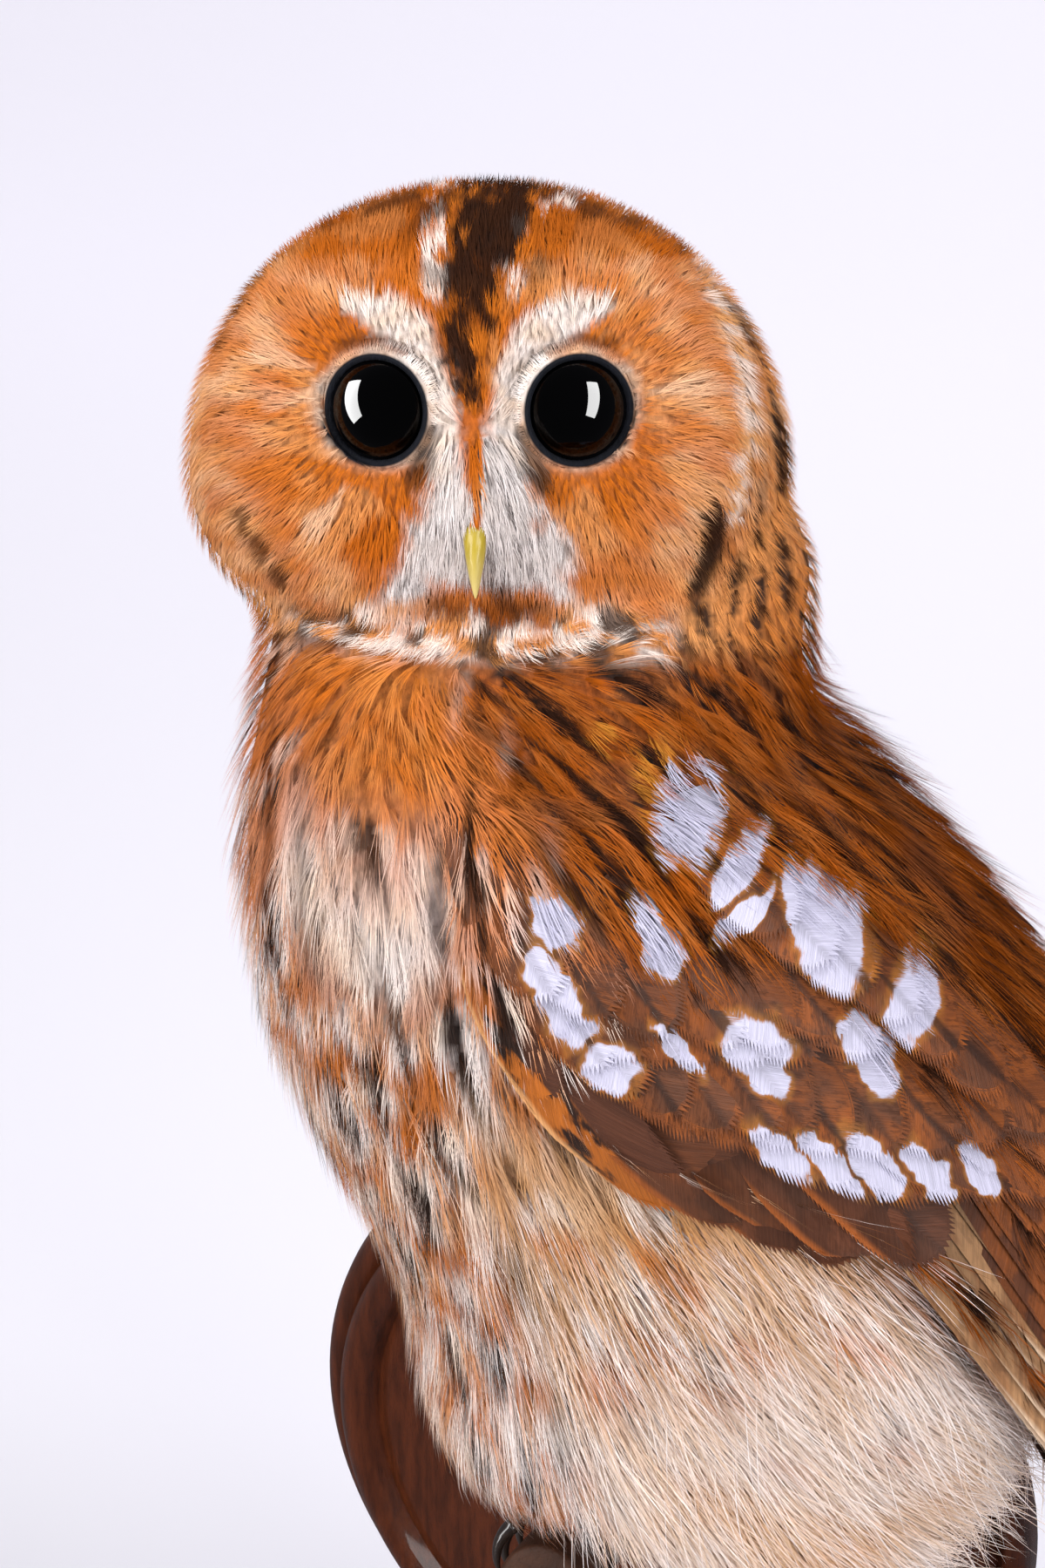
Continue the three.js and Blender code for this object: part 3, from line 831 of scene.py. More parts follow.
class Face(Paint):
    """Points of the head, the random fields over them, and their colour so far."""

    def __init__(self, owl):
        self.owl, self.head = owl, to_head(owl)
        self.x, self.y, self.z = self.head.T
        self.ax = np.abs(self.x)
        self.reach = disc_reach(self.head)
        self.far, self.fine, self.speck = patches(owl, 5, 8), patches(owl, 6, 2.6), patches(owl, 9, 1.3)
        self.uneven = 5 * (self.fine - 0.5) + 3 * (self.speck - 0.5)
        super().__init__(mix(RUFOUS * 1.1, ORANGE, 0.15 + 0.7 * self.far))

    def draw(self, colour, line, widths, amount):
        self.touch(colour, amount * stroke(self.head, line, widths))


def paint_disc(f):
    """Mottled orange, paler to the rim, with a few cream rays and a darker forehead."""
    f.touch(mix(ORANGE, BUFF, 0.7), 0.65 * smooth((f.fine - 0.45) / 0.3))
    edge = smooth((f.reach - 0.62) / 0.3) * (0.25 + 0.75 * f.fine) * (f.y < 24)
    f.touch(mix(BUFF, CREAM, f.speck), 0.5 * edge)
    for line in ([(-28, 7), (-36, 9.5)], [(-28, 2), (-35, 2)], [(-23, -13), (-28, -19)], [(30, 3), (39, 4)]):
        f.draw(mix(CREAM, ORANGE, 0.25), line, [0.4, 2.2], 0.75 * (0.3 + 0.7 * f.fine))
    forehead = smooth((f.y - 20) / 9) * smooth((f.ax - 5) / 6)
    f.touch(CHESTNUT * 1.3, 0.75 * forehead * (0.45 + 0.55 * f.far))


def paint_eyes(f):
    """A pale ring round each eye, brows that sweep up between the eyes and over them, and a painted shadow
    between brow and ring.
    """
    ring = smooth((12.4 - np.hypot(f.ax - 16.7, f.y - 0.5) + 2 * (f.fine - 0.5)) / 2.4)
    f.touch(mix(CREAM, GREY, 0.35 + 0.5 * f.speck), (0.45 + 0.5 * f.speck) * ring)
    white = mix(mix(CREAM, GREY, 0.3), WHITE, 0.2 + 0.7 * f.speck)
    for side in (-1, 1):
        brow = [(22, 17.5), (15.5, 15.5), (10, 11.5), (6.2, 5), (4.8, -3), (6, -8)]
        f.draw(white, [(side * x, y) for x, y in brow], [1.2, 3.4, 4.0, 3.0, 2.2, 2.4], 0.95)
        # painted shadow: a thin dark line between the brow and the pale ring under it
        painted_shadow_over_eye = [(side * 23, 10.8), (side * 17, 12.0), (side * 12.0, 10.0)]
        f.draw(CHESTNUT * 0.7, painted_shadow_over_eye, [1.1, 0.9, 0.7], 0.75)


def paint_lores(f):
    """Grey bristles that fan out down both sides of the bill, over a dark chin band."""
    fan = smooth((2.0 - f.y) / 5) * smooth((f.y + 29.0 + 0.28 * f.ax + f.uneven) / 5)
    fan = fan * smooth((4 - 0.56 * f.y - f.ax + f.uneven) / 6.5)
    rays = np.sin(np.arctan2(f.x, 14 - f.y) * 105 + 5 * f.fine) + 1.6 * (f.speck - 0.5)
    pale = mix(GREY * 1.1, WHITE, 0.35 + 0.6 * f.speck)
    bristle = mix(pale, BLACK * 2.5, 0.75 * smooth((rays - 0.75) / 0.5))
    f.touch(bristle, np.clip(fan * 1.3, 0, 1) * (f.ax > 1.2 + 0.04 * f.y))
    chin = smooth((-28.0 - f.y + f.uneven) / 3) * smooth((f.y + 36 - f.uneven) / 3)
    chin = chin * smooth((14 - np.abs(f.x - 1.5)) / 7)
    f.touch(mix(CHESTNUT, BROWN * 0.8, smooth((f.speck - 0.35) / 0.4)), chin * 0.95)
    for side in (-1, 1):
        corner = [(side * 7.4, -3), (side * 8.6, -7.5), (side * 11.2, -10.8)]
        f.draw(BLACK * 1.5, corner, [0.9, 1.9, 1.4], 0.55 + 0.4 * f.speck)
    f.draw(mix(RUFOUS, ORANGE, f.fine), [(-0.8, 10), (-0.8, 0), (-0.8, -10)], [3.6, 1.9, 1.2], 0.9)


# %% Face: crown, rim and nape
CROWN_STRIPE = [(3.4, 40), (0.4, 22), (-2.2, 12), (-1.2, 3)]


def paint_crown(f):
    """The crown's dark stripe, its rufous margins and the white flecks beside them."""
    f.draw(mix(CHESTNUT, ORANGE, f.speck), CROWN_STRIPE, [8.5, 6.5, 5.0, 2.4], 0.9)
    ragged = smooth((patches(f.owl, 18, 0.9) - 0.44) / 0.16)
    for line in ([(-7.6, 32), (-6.4, 20)], [(7, 29), (15, 33)], [(4.4, 22), (6.4, 21)],
                 [(-15, 38), (-6, 38)]):
        f.draw(mix(CREAM, WHITE, 0.7), line, [1.8, 2.3], 0.9 * ragged)
    wave = np.column_stack([f.x + 2.4 * (f.fine - 0.5) + 2.2 * (f.speck - 0.5), f.y, f.z])
    dark = stroke(wave, CROWN_STRIPE, [6.4, 4.8, 3.8, 1.6]) * (0.30 + 1.0 * patches(f.owl, 14, 1.5))
    f.touch(BLACK * 1.1, 0.97 * smooth((dark - 0.34) / 0.25))
    tufts = smooth((patches(f.owl, 16, 1.6) - 0.56) / 0.1)
    f.draw(BLACK * 1.3, [(3, 36), (1.5, 30)], [15, 13], 0.8 * tufts)


def paint_rim(f):
    """Dark scallops above and on the right, a pale band and a black bar on the left."""
    scallop = smooth((patches(f.owl, 12, 1.7) - 0.34) / 0.2)
    for line in ([(-11, 34.5), (-29, 30), (-40, 21), (-44.5, 11)], [(15, 33), (30, 29.5), (38.5, 24)],
                 [(-43, -10), (-41, -17), (-34, -30)]):
        f.draw(BROWN * 0.8, line, [1.3, 1.7, 1.6, 1.3][:len(line)], 0.85 * scallop)
    pale = mix(BUFF, mix(CREAM, WHITE, 0.6), smooth((f.speck - 0.35) / 0.3))
    f.draw(pale, [(37, 26), (43, 12), (45.5, -3), (43.5, -18)], [1.4, 2.2, 2.4, 1.8], 0.85)
    f.draw(BLACK, [(40.0, -16.5), (39.5, -24), (36.5, -30.5)], [1.3, 2.6, 1.6], 0.97)


def paint_collar(f):
    """White, buff and black scallops under the chin; gives back where they lie."""
    below = smooth((-f.y - 32.5 + f.uneven) / 3) * smooth((46 + f.y) / 4)
    below = below * smooth((37 - f.ax) / 6) * (f.z > 4)
    collar = Paint(mix(mix(CREAM, WHITE, 0.7), mix(BUFF, ORANGE, 0.5), smooth((f.speck - 0.52) / 0.12)))
    collar.touch(BLACK * 1.6, 0.92 * smooth((patches(f.owl, 10, 1.7) - 0.62) / 0.08))
    f.touch(collar.tone, below * 0.95)
    return below


def paint_nape(f, below):
    """Streaked feathers that run back over the skull and down the nape, and a painted shadow under the
    collar.
    """
    over_top = f.y > 27 + 3 * f.fine
    across = np.where(over_top, f.x, np.arctan2(f.x, -f.z - 8) * 40) + 5 * f.far
    along = np.where(over_top, -f.z, -f.y) + 5 * f.fine
    u, v, key = cells(across, along, 4.4, 21.0, 4)
    nape = Paint(mix(ORANGE, BUFF, 0.2 + 0.6 * f.far))
    nape.touch(mix(CHESTNUT, RUFOUS, f.far), smooth((-f.z + 4) / 30) * 0.7)
    nape.touch(mix(CREAM, BUFF, f.speck), 0.6 * blotches(u, v, key, 5) * smooth((f.y + 40) / 60))
    nape.touch(BLACK * 1.2, 0.95 * shaft(u, v, key, 0.19, 1.0))
    behind = np.maximum(smooth((f.reach - 1.08) / 0.10), smooth((2 - f.z) / 8)) * (1 - below)
    f.touch(nape.tone, behind * (1 - 0.9 * stroke(f.head, CROWN_STRIPE[:2], [4.4, 3.4])))
    # painted shadow: smoky brown under the collar, on the right side of the neck
    shade = smooth((-f.y - 43) / 3) * smooth((f.y + 58) / 7) * smooth((f.x - 2) / 10) * smooth((f.z - 4) / 8)
    f.touch(mix(SMOKE, CHESTNUT * 0.6, f.fine), 0.8 * shade)


def face_marks(owl):
    """Colours of the head."""
    face = Face(owl)
    for paint in (paint_disc, paint_eyes, paint_lores, paint_crown, paint_rim):
        paint(face)
    paint_nape(face, paint_collar(face))
    return face.tone


# %% [markdown]
# A breast feather of the real owl is cream with a black shaft, rusty bars and a gold edge.
# Drawing each one would need as many pictures as feathers. Instead the body is divided into
# cells the size of a feather, in staggered rows, and the same few marks are drawn in every
# cell with a random shift, so that no two look alike.

# %% Breast, belly and mantle


def middle_of(up):
    """How far forward the middle of the body is at a height."""
    return np.interp(up, [20, 80, 150, 220, 260, 360], [-120, -40, -36, -12, 0, 10])


def front_cells(owl):
    """Places on the feathers of the breast and belly."""
    s, left, up = owl.T
    across = np.arctan2(left, s - middle_of(up)) * 46 + 7 * patches(owl, 31, 14)
    return cells(across, -up + 12 * patches(owl, 32, 16), 8.6, 30.0, 3)


def back_cells(owl):
    """Places on the feathers of the mantle, with across turned to suit the barbs."""
    a, h = lean_of(owl)
    across = -np.arctan2(owl[:, 1], h + 22) * 44 + 4 * patches(owl, 33, 14)
    return cells(across, a + 12 * patches(owl, 34, 18), 5.6, 36.0, 6)


def breast_tone(owl, far, fine, tiny, x, y, key):
    """Cream, with rusty bars, gold edges and black shafts, and more orange to the neck."""
    s, left, up = owl.T
    upper = smooth((up - 214) / 34)
    orange = mix(RUFOUS, ORANGE, 0.3 + 0.6 * far)
    breast = Paint(mix(mix(CREAM, WHITE, 0.2 + 0.7 * far), orange, 0.10 + 0.85 * upper))
    breast.touch(mix(GOLD, ORANGE, 0.7 * tiny), 0.85 * smooth((np.abs(x) - 0.24) / 0.15) * (1 - upper))
    bars = smooth((np.sin((y * 2.1 + key) * 2 * math.pi + 3 * (fine - 0.5)) - 0.15) / 0.4)
    breast.touch(orange * 0.9, 0.95 * bars * (1 - 0.5 * upper))
    pale = mix(CREAM, WHITE, 0.3 + 0.7 * fine)
    breast.touch(pale, 0.95 * blotches(x, y, key, 7) * (1 - 0.5 * upper))
    # the soft lobe that laps over the wrist of each wing, and the pale bases below it
    edge = 248 + 6 * ((s - 27) / 12) ** 2
    outer = smooth((np.abs(left) - 14) / 10) * smooth((s - 11) / 5) * smooth((47 - s) / 7)
    lobe = outer * smooth((up - edge) / 2) * smooth((292 - up) / 12)
    breast.touch(mix(mix(RUFOUS * 1.15, ORANGE, 0.4 + 0.5 * fine), GOLD, 0.45 * tiny), lobe * 0.95)
    below = bell(up - edge + 20, 14) * outer
    breast.touch(mix(CREAM, WHITE, 0.2 + 0.7 * tiny), below * 0.85)
    streak = shaft(x, y, key, 0.125, 0.93) * (1 - lobe * 0.85) * (1 - 0.6 * below)
    breast.touch(BLACK, 0.98 * streak)
    return breast.tone


def belly_tone(owl, far, fine, tiny, x, y, key):
    """Gold under cream and white down, with a few bars and shafts higher up."""
    s, _, up = owl.T
    belly = Paint(mix(mix(GOLD * 0.75, BUFF * 0.85, far), CREAM, 0.55 * tiny))
    low = smooth((160 - up - 0.35 * s) / 50)
    belly.touch(mix(mix(GOLD, BUFF, fine), CREAM, 0.35 + 0.5 * tiny), 0.9 * low)
    belly.touch(mix(CREAM, WHITE, tiny), 0.8 * low * smooth((far - 0.30) / 0.3))
    high = smooth((up - 112) / 25)
    belly.touch(mix(WHITE, CREAM, tiny), 0.9 * high * blotches(x, y, key, 9) * (key < 0.7))
    belly.touch(ORANGE, 0.85 * high * bell(y - 0.78, 0.08) * (key < 0.7))
    belly.touch(SMOKE, 0.75 * high * shaft(x, y, key, 0.07, 0.45))
    return belly.tone


def front_marks(owl):
    """Colours of the breast, flanks and belly."""
    s, _, up = owl.T
    fields = [patches(owl, 21, 15), patches(owl, 22, 6), patches(owl, 23, 2.2), *front_cells(owl)]
    limit = 20 - 0.24 * np.clip(206 - up, 0, 110)
    on_belly = smooth((limit - s) / 14) * smooth((206 - up) / 24)
    return mix(breast_tone(owl, *fields), belly_tone(owl, *fields), on_belly)


def back_marks(owl):
    """Colours of the mantle: rufous brown with long parallel dark streaks."""
    far, fine, tiny = patches(owl, 24, 13), patches(owl, 25, 5), patches(owl, 27, 2.0)
    x, y, key = back_cells(owl)
    back = Paint(mix(CHESTNUT * 0.75, RUFOUS * 0.8, 0.05 + 0.8 * far))
    back.touch(mix(BROWN, SMOKE, fine), 0.55 * smooth((fine - 0.52) / 0.18))
    edges = bell(np.abs(x) - 0.33, 0.12) * (key < 0.7)
    back.touch(mix(RUFOUS * 1.2, GOLD * 0.8, 0.5 * tiny), 0.6 * edges)
    back.touch(BLACK, 0.98 * shaft(x, y, key, 0.18, 1.0))
    return back.tone


def coat_tone(owl):
    """Colours of the skin and of the hairs over it."""
    a, h = lean_of(owl)
    on_back = smooth((h + 12) / 14) * smooth((-owl[:, 0] + 34) / 24)
    body = mix(front_marks(owl), back_marks(owl), on_back)
    neck = smooth((owl[:, 2] - 268) / 10) * smooth((to_head(owl)[:, 1] + 46) / 6)
    return mix(body, face_marks(owl), neck)


# %% [markdown]
# The white spots of a tawny owl's wing sit in lines: down the scapulars, over the shoulder,
# and across the greater coverts. Each is given by its place in lean measure, its length and
# its width, and the finishes of the coverts and of the soft wing feathers draw it, whichever lies on top.

# %% Spots of the wing
SPOTS = [(22, 18.5, 12, 11), (34.0, 20.5, 5.5, 10), (40.0, 18.2, 3.6, 9.5), (48.5, 25.8, 15, 5),
         (55, 26.2, 15, 9), (73.3, 30, 11, 8), (21, -7, 9, 7.5), (32.5, 5.8, 13, 4), (36.5, 5.2, 8, 5.5),
         (29.5, -13.2, 14, 6), (36.0, -14.4, 12, 7.5), (48.0, -13.8, 9, 9), (51.4, -2.3, 14, 2.8),
         (59.0, 8.4, 13, 10), (65, 7.0, 8, 6.5), (73, 21.4, 12, 6), (78.5, 20.2, 9, 5),
         (78.5, 0.4, 16, 5.4), (86.0, 5.6, 17, 4.4), (91.0, 11.2, 17, 5.4), (99.5, 17.2, 15, 4.6),
         (106, 23.5, 11, 3.2)]
GOLD_SPOTS = [(4, 12, 9, 5), (14, 17.0, 10, 8)]
SPOT_WHITE = (0.53, 0.51, 0.64)
SPOT_GOLD = (0.56, 0.22, 0.03)


def nearest_spot(f, place, spots):
    """How far off the nearest spot is, in half sizes of that spot."""
    least = None
    for a, h, length, width in spots:
        scale = (2 / length, 2 / width, 0)
        shift = (-a * scale[0], -h * scale[1], 0)
        inside = f.node("ShaderNodeVectorMath", {0: place, 1: scale, 2: shift}, operation="MULTIPLY_ADD")
        off = f.node("ShaderNodeVectorMath", {0: inside}, output=1, operation="LENGTH")
        least = off if least is None else least.math("MINIMUM", off)
    return least


def with_spots(f, colour, ragged):
    """The colour with the wing's spots over it, and how white it is there."""
    place = f.attribute("lean")
    on_wing = f.part(place, 2)
    drift = f.noise(place, 0.22, 1.0)
    turn = f.noise(f.vector(f.part(place, 1), f.part(place, 0), 7.0), 0.26, 1.0)
    place = f.vector(f.part(place, 0) + (drift - 0.5) * 6.0, f.part(place, 1) + (turn - 0.5) * 4.0, on_wing)
    gold = nearest_spot(f, place, GOLD_SPOTS) + ragged
    white = nearest_spot(f, place, SPOTS) + ragged
    colour = f.blend(gold.over(1.25, 0.6) * on_wing * 0.8, colour, SPOT_GOLD)
    colour = f.blend(white.over(1.40, 1.0) * on_wing * 0.4, colour, SPOT_GOLD)
    amount = white.over(1.10, 0.96) * on_wing
    return f.blend(amount, colour, SPOT_WHITE), amount


# %% [markdown]
# Fine barbs scatter light softly and hardly shine. The hair finish reads what is stored on
# every hair: where each point is along it, and its colour. Each hair is a little lighter or
# darker than the next, and its root is darker, where the hairs above shade it. Down has
# white ends on some of its hairs. A hair shader would look richer, but it needs curves, and
# these hairs are solid mesh.

# %% Hair finish


def hair_finish(name, contrast, spots=False, tips=0.0):
    f = Finish(name, Roughness=0.85, Specular_IOR_Level=0.0)
    mark = f.attribute("vane")
    u, v, number = (f.part(mark, axis) for axis in range(3))
    colour = f.attribute("tone", "Color")
    grain = f.noise(f.vector(number * 91.0, v * 3.0, number * 37.0), 1.0, 2.0)
    if spots:
        colour, _ = with_spots(f, colour, (number - 0.5) * 0.4 + (grain - 0.5) * 0.3)
    colour = f.blend(v.over(0.30, 0.90) * number.over(0.35, 0.75) * tips, colour, tuple(WHITE))
    shade = (number * contrast + (1.0 - contrast / 2)) * (v.over(0.0, 0.5) * 0.35 + 0.65)
    f.set(Base_Color=f.scaled(colour, shade * (grain * 0.4 + 0.8)))
    f.bump(grain, 0.0002, 0.3)
    return f.material


silky_hair = hair_finish("silky hair", 0.34)
loose_hair = hair_finish("loose down", 0.55, tips=0.8)
wispy_hair = hair_finish("wisps", 0.30, tips=1.6)
wing_hair = hair_finish("soft wing feathers", 0.35, spots=True)
print("nodes in a hair finish:", len(loose_hair.node_tree.nodes))

# %% [markdown]
# The body's coat is grown as tufts of fine hairs, the ends of the barbs that show on soft
# feathers. They are short and close on the breast and back, and part from the shaft that is
# painted under them to both sides, as barbs do. On the belly and legs they give way to long
# loose down, with a few wisps that stand off it. Whole feathers would look like scales here.

# %% Coat of the body


def below_head(owl):
    return 1 - smooth((owl[:, 2] - 270) / 8)


def on_wing(owl):
    a, h = lean_of(owl)
    return (h > wing_low(a) - 2) & (a > 1) & (np.abs(owl[:, 1]) > 16) & (owl[:, 0] < 24)


def front_share(owl):
    a, h = lean_of(owl)
    under = (h < wing_low(a) + 2) & (a < 175)
    neck_front = (a < 8) & (h < 8)
    covered = on_wing(owl) & (h > wing_low(a) + 6)
    return ((under | neck_front) & ~covered) * below_head(owl)


def down_amount(owl):
    a, h = lean_of(owl)
    s, _, up = owl.T
    return smooth((20 - s) / 12) * smooth((200 - up) / 34) * smooth((-h + 6) / 10)


def breast_share(owl):
    return front_share(owl) * (down_amount(owl) < 0.5)


def down_share(owl):
    return front_share(owl) * smooth((down_amount(owl) - 0.25) / 0.3)


def wisp_share(owl):
    s, _, up = owl.T
    return down_share(owl) * mix(0.25, 1.0, smooth((150 - up) / 40)) * smooth((-s - 4) / 12)


def back_share(owl):
    a, h = lean_of(owl)
    dorsal = (h > wing_low(a)) & ((np.abs(owl[:, 1]) <= 18) | (h > 0.62 * wing_high(a)) | (a < 4))
    return (dorsal & (a < 150) & (h > -8)) * below_head(owl)


def hair_coat(name, seed, spacing, share, length_of, tuft, finish, slot, width=0.16, depth=5.0, lift=1.0,
              cling=0.8, sway=0.08, wave=0.5, steps=5, unwrap=None, ruffle=0.12, carry=0.35, barbs=None):
    """Tufts of hair over the part of the skin that share keeps; length_of gives each its length."""
    points, normals = roots(seed, spacing, share)
    rng = np.random.default_rng(seed)
    length = length_of(points) * rng.uniform(0.75, 1.15, len(points))
    turn_by = rng.normal(0, sway, len(points)) + wave * (patches(points, seed, 13) - 0.5)
    if barbs is not None:
        x, y, _ = barbs(points)
        turn_by = turn_by + 1.5 * x
        lift = lift * (0.5 + 1.1 * smooth((y - 0.3) / 0.6))
    path, lay = midribs(points, normals, length, cling, steps, sway=turn_by)
    spots = None if unwrap is None else unwrap(points)
    piece = grow(name, tuft, path, lay, length * width, 0.05, depth, lift, coat_tone, seed + 1,
                 ruffle=ruffle, unwrap=spots, carry=carry)
    finish_piece(piece, finish, slot)


def breast_length(owl):
    up = owl[:, 2]
    return mix(mix(19, 27, smooth((235 - up) / 60)), 14, smooth((up - 248) / 22))


DOWN_LENGTH = 34


def down_length(owl):
    s, _, up = owl.T
    length = DOWN_LENGTH * mix(1.0, 0.72, smooth((s + 10) / 20))
    length = length * mix(1.0, 1.2, smooth((130 - up) / 40) * smooth((-s - 20) / 20))
    return length * mix(1.0, 0.32, smooth((116 - up) / 18) * smooth((s + 30) / 16))


def back_length(owl):
    return mix(26, 17, smooth((owl[:, 2] - 245) / 25))


fine_tuft, long_tuft = hairs(14, 5, 0.036, 4), hairs(15, 6, 0.028, 4)
hair_coat("coat_breast_under", 12, 4.2, breast_share, breast_length, fine_tuft, silky_hair, "plumage_rufous",
          depth=6.0, lift=0.4, carry=0.15, barbs=front_cells)
hair_coat("coat_breast_over", 15, 3.4, breast_share, breast_length, hairs(12, 8, 0.030, 4), silky_hair,
          "plumage_rufous", depth=3.0, lift=1.8, width=0.15, carry=0.15, barbs=front_cells)
hair_coat("coat_down_0", 14, 3.4, down_share, down_length, long_tuft, loose_hair, "plumage_pale",
          depth=6.0, lift=0.6, cling=0.45, sway=0.18, steps=6, ruffle=0.14)
hair_coat("coat_down_1", 16, 4.2, down_share, lambda owl: down_length(owl) * 1.2, hairs(13, 9, 0.024, 4),
          loose_hair, "plumage_pale", depth=4.0, lift=3.0, cling=0.4, sway=0.20, steps=6, ruffle=0.16)
hair_coat("coat_down_wisps", 19, 6.2, wisp_share, lambda owl: down_length(owl) * 1.35,
          hairs(9, 10, 0.016, 4, 1.5), wispy_hair, "plumage_pale", depth=4.0, lift=6.0, cling=0.2,
          sway=0.30, steps=6, ruffle=0.30)
hair_coat("coat_mantle_under", 13, 4.6, back_share, back_length, fine_tuft, wing_hair, "plumage_rufous",
          depth=5.0, lift=2.2, carry=0.15, barbs=back_cells)
hair_coat("coat_mantle_over", 18, 3.9, back_share, back_length, hairs(12, 10, 0.030, 4), wing_hair,
          "plumage_rufous", depth=2.5, lift=3.6, width=0.14, carry=0.15, barbs=back_cells)

# %% [markdown]
# The head wears the smallest feathers. Short dark-tipped ones cover the crown and nape,
# fine hair-like ones radiate over the disc of the face, stiff little ones stand in rows
# along its rim, and longer bristles hang beside the bill. The same tufts serve, only
# shorter, closer and finer than on the body.

# %% Crown and nape


def eye_distance(owl):
    head = to_head(owl)
    return np.hypot(np.abs(head[:, 0]) - 16.2, head[:, 1] - 0.3)


def in_disc(owl, limit):
    head = to_head(owl)
    return (disc_reach(head) < limit) & (head[:, 2] > 6)


def head_share(owl):
    return smooth((owl[:, 2] - 258) / 10) * ~in_disc(owl, 0.95)


def head_length(owl):
    return mix(8, 16, smooth((8 - to_head(owl)[:, 2]) / 36))


hair_coat("coat_head_under", 31, 2.9, head_share, head_length, hairs(12, 11, 0.060, 3), silky_hair,
          "plumage_rufous", depth=3.0, lift=0.5, width=0.17, steps=4, unwrap=unwrap_head)
hair_coat("coat_head_over", 33, 2.5, head_share, head_length, hairs(10, 12, 0.050, 3), silky_hair,
          "plumage_rufous", depth=1.6, lift=1.1, width=0.15, steps=4, unwrap=unwrap_head)

# %% Face


def face_share(owl):
    return ((eye_distance(owl) > 10.0) & in_disc(owl, 1.0)).astype(float)


def face_length(owl):
    head = to_head(owl)
    ax, y = np.abs(head[:, 0]), head[:, 1]
    length = mix(3.2, 8.0, smooth((eye_distance(owl) - 10) / 9))
    lores = smooth((1 - y) / 6) * smooth((14 - ax) / 6) * smooth((y + 26) / 8)
    return mix(length, 10.5, lores)


hair_coat("coat_face_under", 41, 1.35, face_share, face_length, hairs(10, 7, 0.065, 2), silky_hair,
          "plumage_rufous", depth=0.6, lift=0.3, width=0.20, sway=0.07, steps=3,
          unwrap=unwrap_head, carry=0.6)
hair_coat("coat_face_over", 43, 1.5, face_share, face_length, hairs(9, 13, 0.045, 3), silky_hair,
          "plumage_rufous", depth=0.3, lift=1.0, width=0.18, sway=0.12, wave=0.6, steps=3,
          unwrap=unwrap_head, carry=0.6)

# %% [markdown]
# The edge of the real disc is a ruff of stiff curved feathers that stand close together. A
# scatter would make it ragged, so its tufts are set in three rows along the disc's outline.

# %% Rim of the face
RIM_COUNT, RIM_REACHES = 150, (0.97, 1.02, 1.07)
paths, lays = [], []
for k, reach in enumerate(RIM_REACHES):
    turned = (np.arange(RIM_COUNT) + 0.5 * k) / RIM_COUNT * 2 * math.pi
    power = np.where(np.sin(turned) < 0, 2.5, 2.0)
    scale = reach / (np.abs(np.cos(turned)) ** power + np.abs(np.sin(turned)) ** power) ** (1 / power)
    flat = DISC_MIDDLE + DISC_HALF * np.stack([np.cos(turned), np.sin(turned)], axis=1) * scale[:, None]
    guess = from_head(np.column_stack([flat, np.full(RIM_COUNT, 22.0 - 6 * k)]))
    places, normals = nearest(guess)
    keep = to_head(places)[:, 2] > 4
    path, lay = midribs(places[keep], normals[keep], np.full(keep.sum(), 5.5), 0.9, 3)
    paths.append(path)
    lays.append(lay)
path, lay = np.concatenate(paths), np.concatenate(lays)
rim = grow("coat_rim", hairs(14, 14, 0.075, 2), path, lay, 1.5, 0.15, 1.0, 1.6, coat_tone, 53,
           ruffle=0.10, unwrap=unwrap_head(path[:, 0]), carry=0.6)
finish_piece(rim, silky_hair, "plumage_rufous")

# %% [markdown]
# Quills, coverts and scapulars are firm vanes with a dark shaft, fine brown scribbles and
# bars. A feather's webs can differ, so each one stores which of its sides is the outer one.
# The marks could be painted on a picture, but drawn from the place on the vane they stay
# sharp from near by, and differ from feather to feather.

# %% Firm feather finish


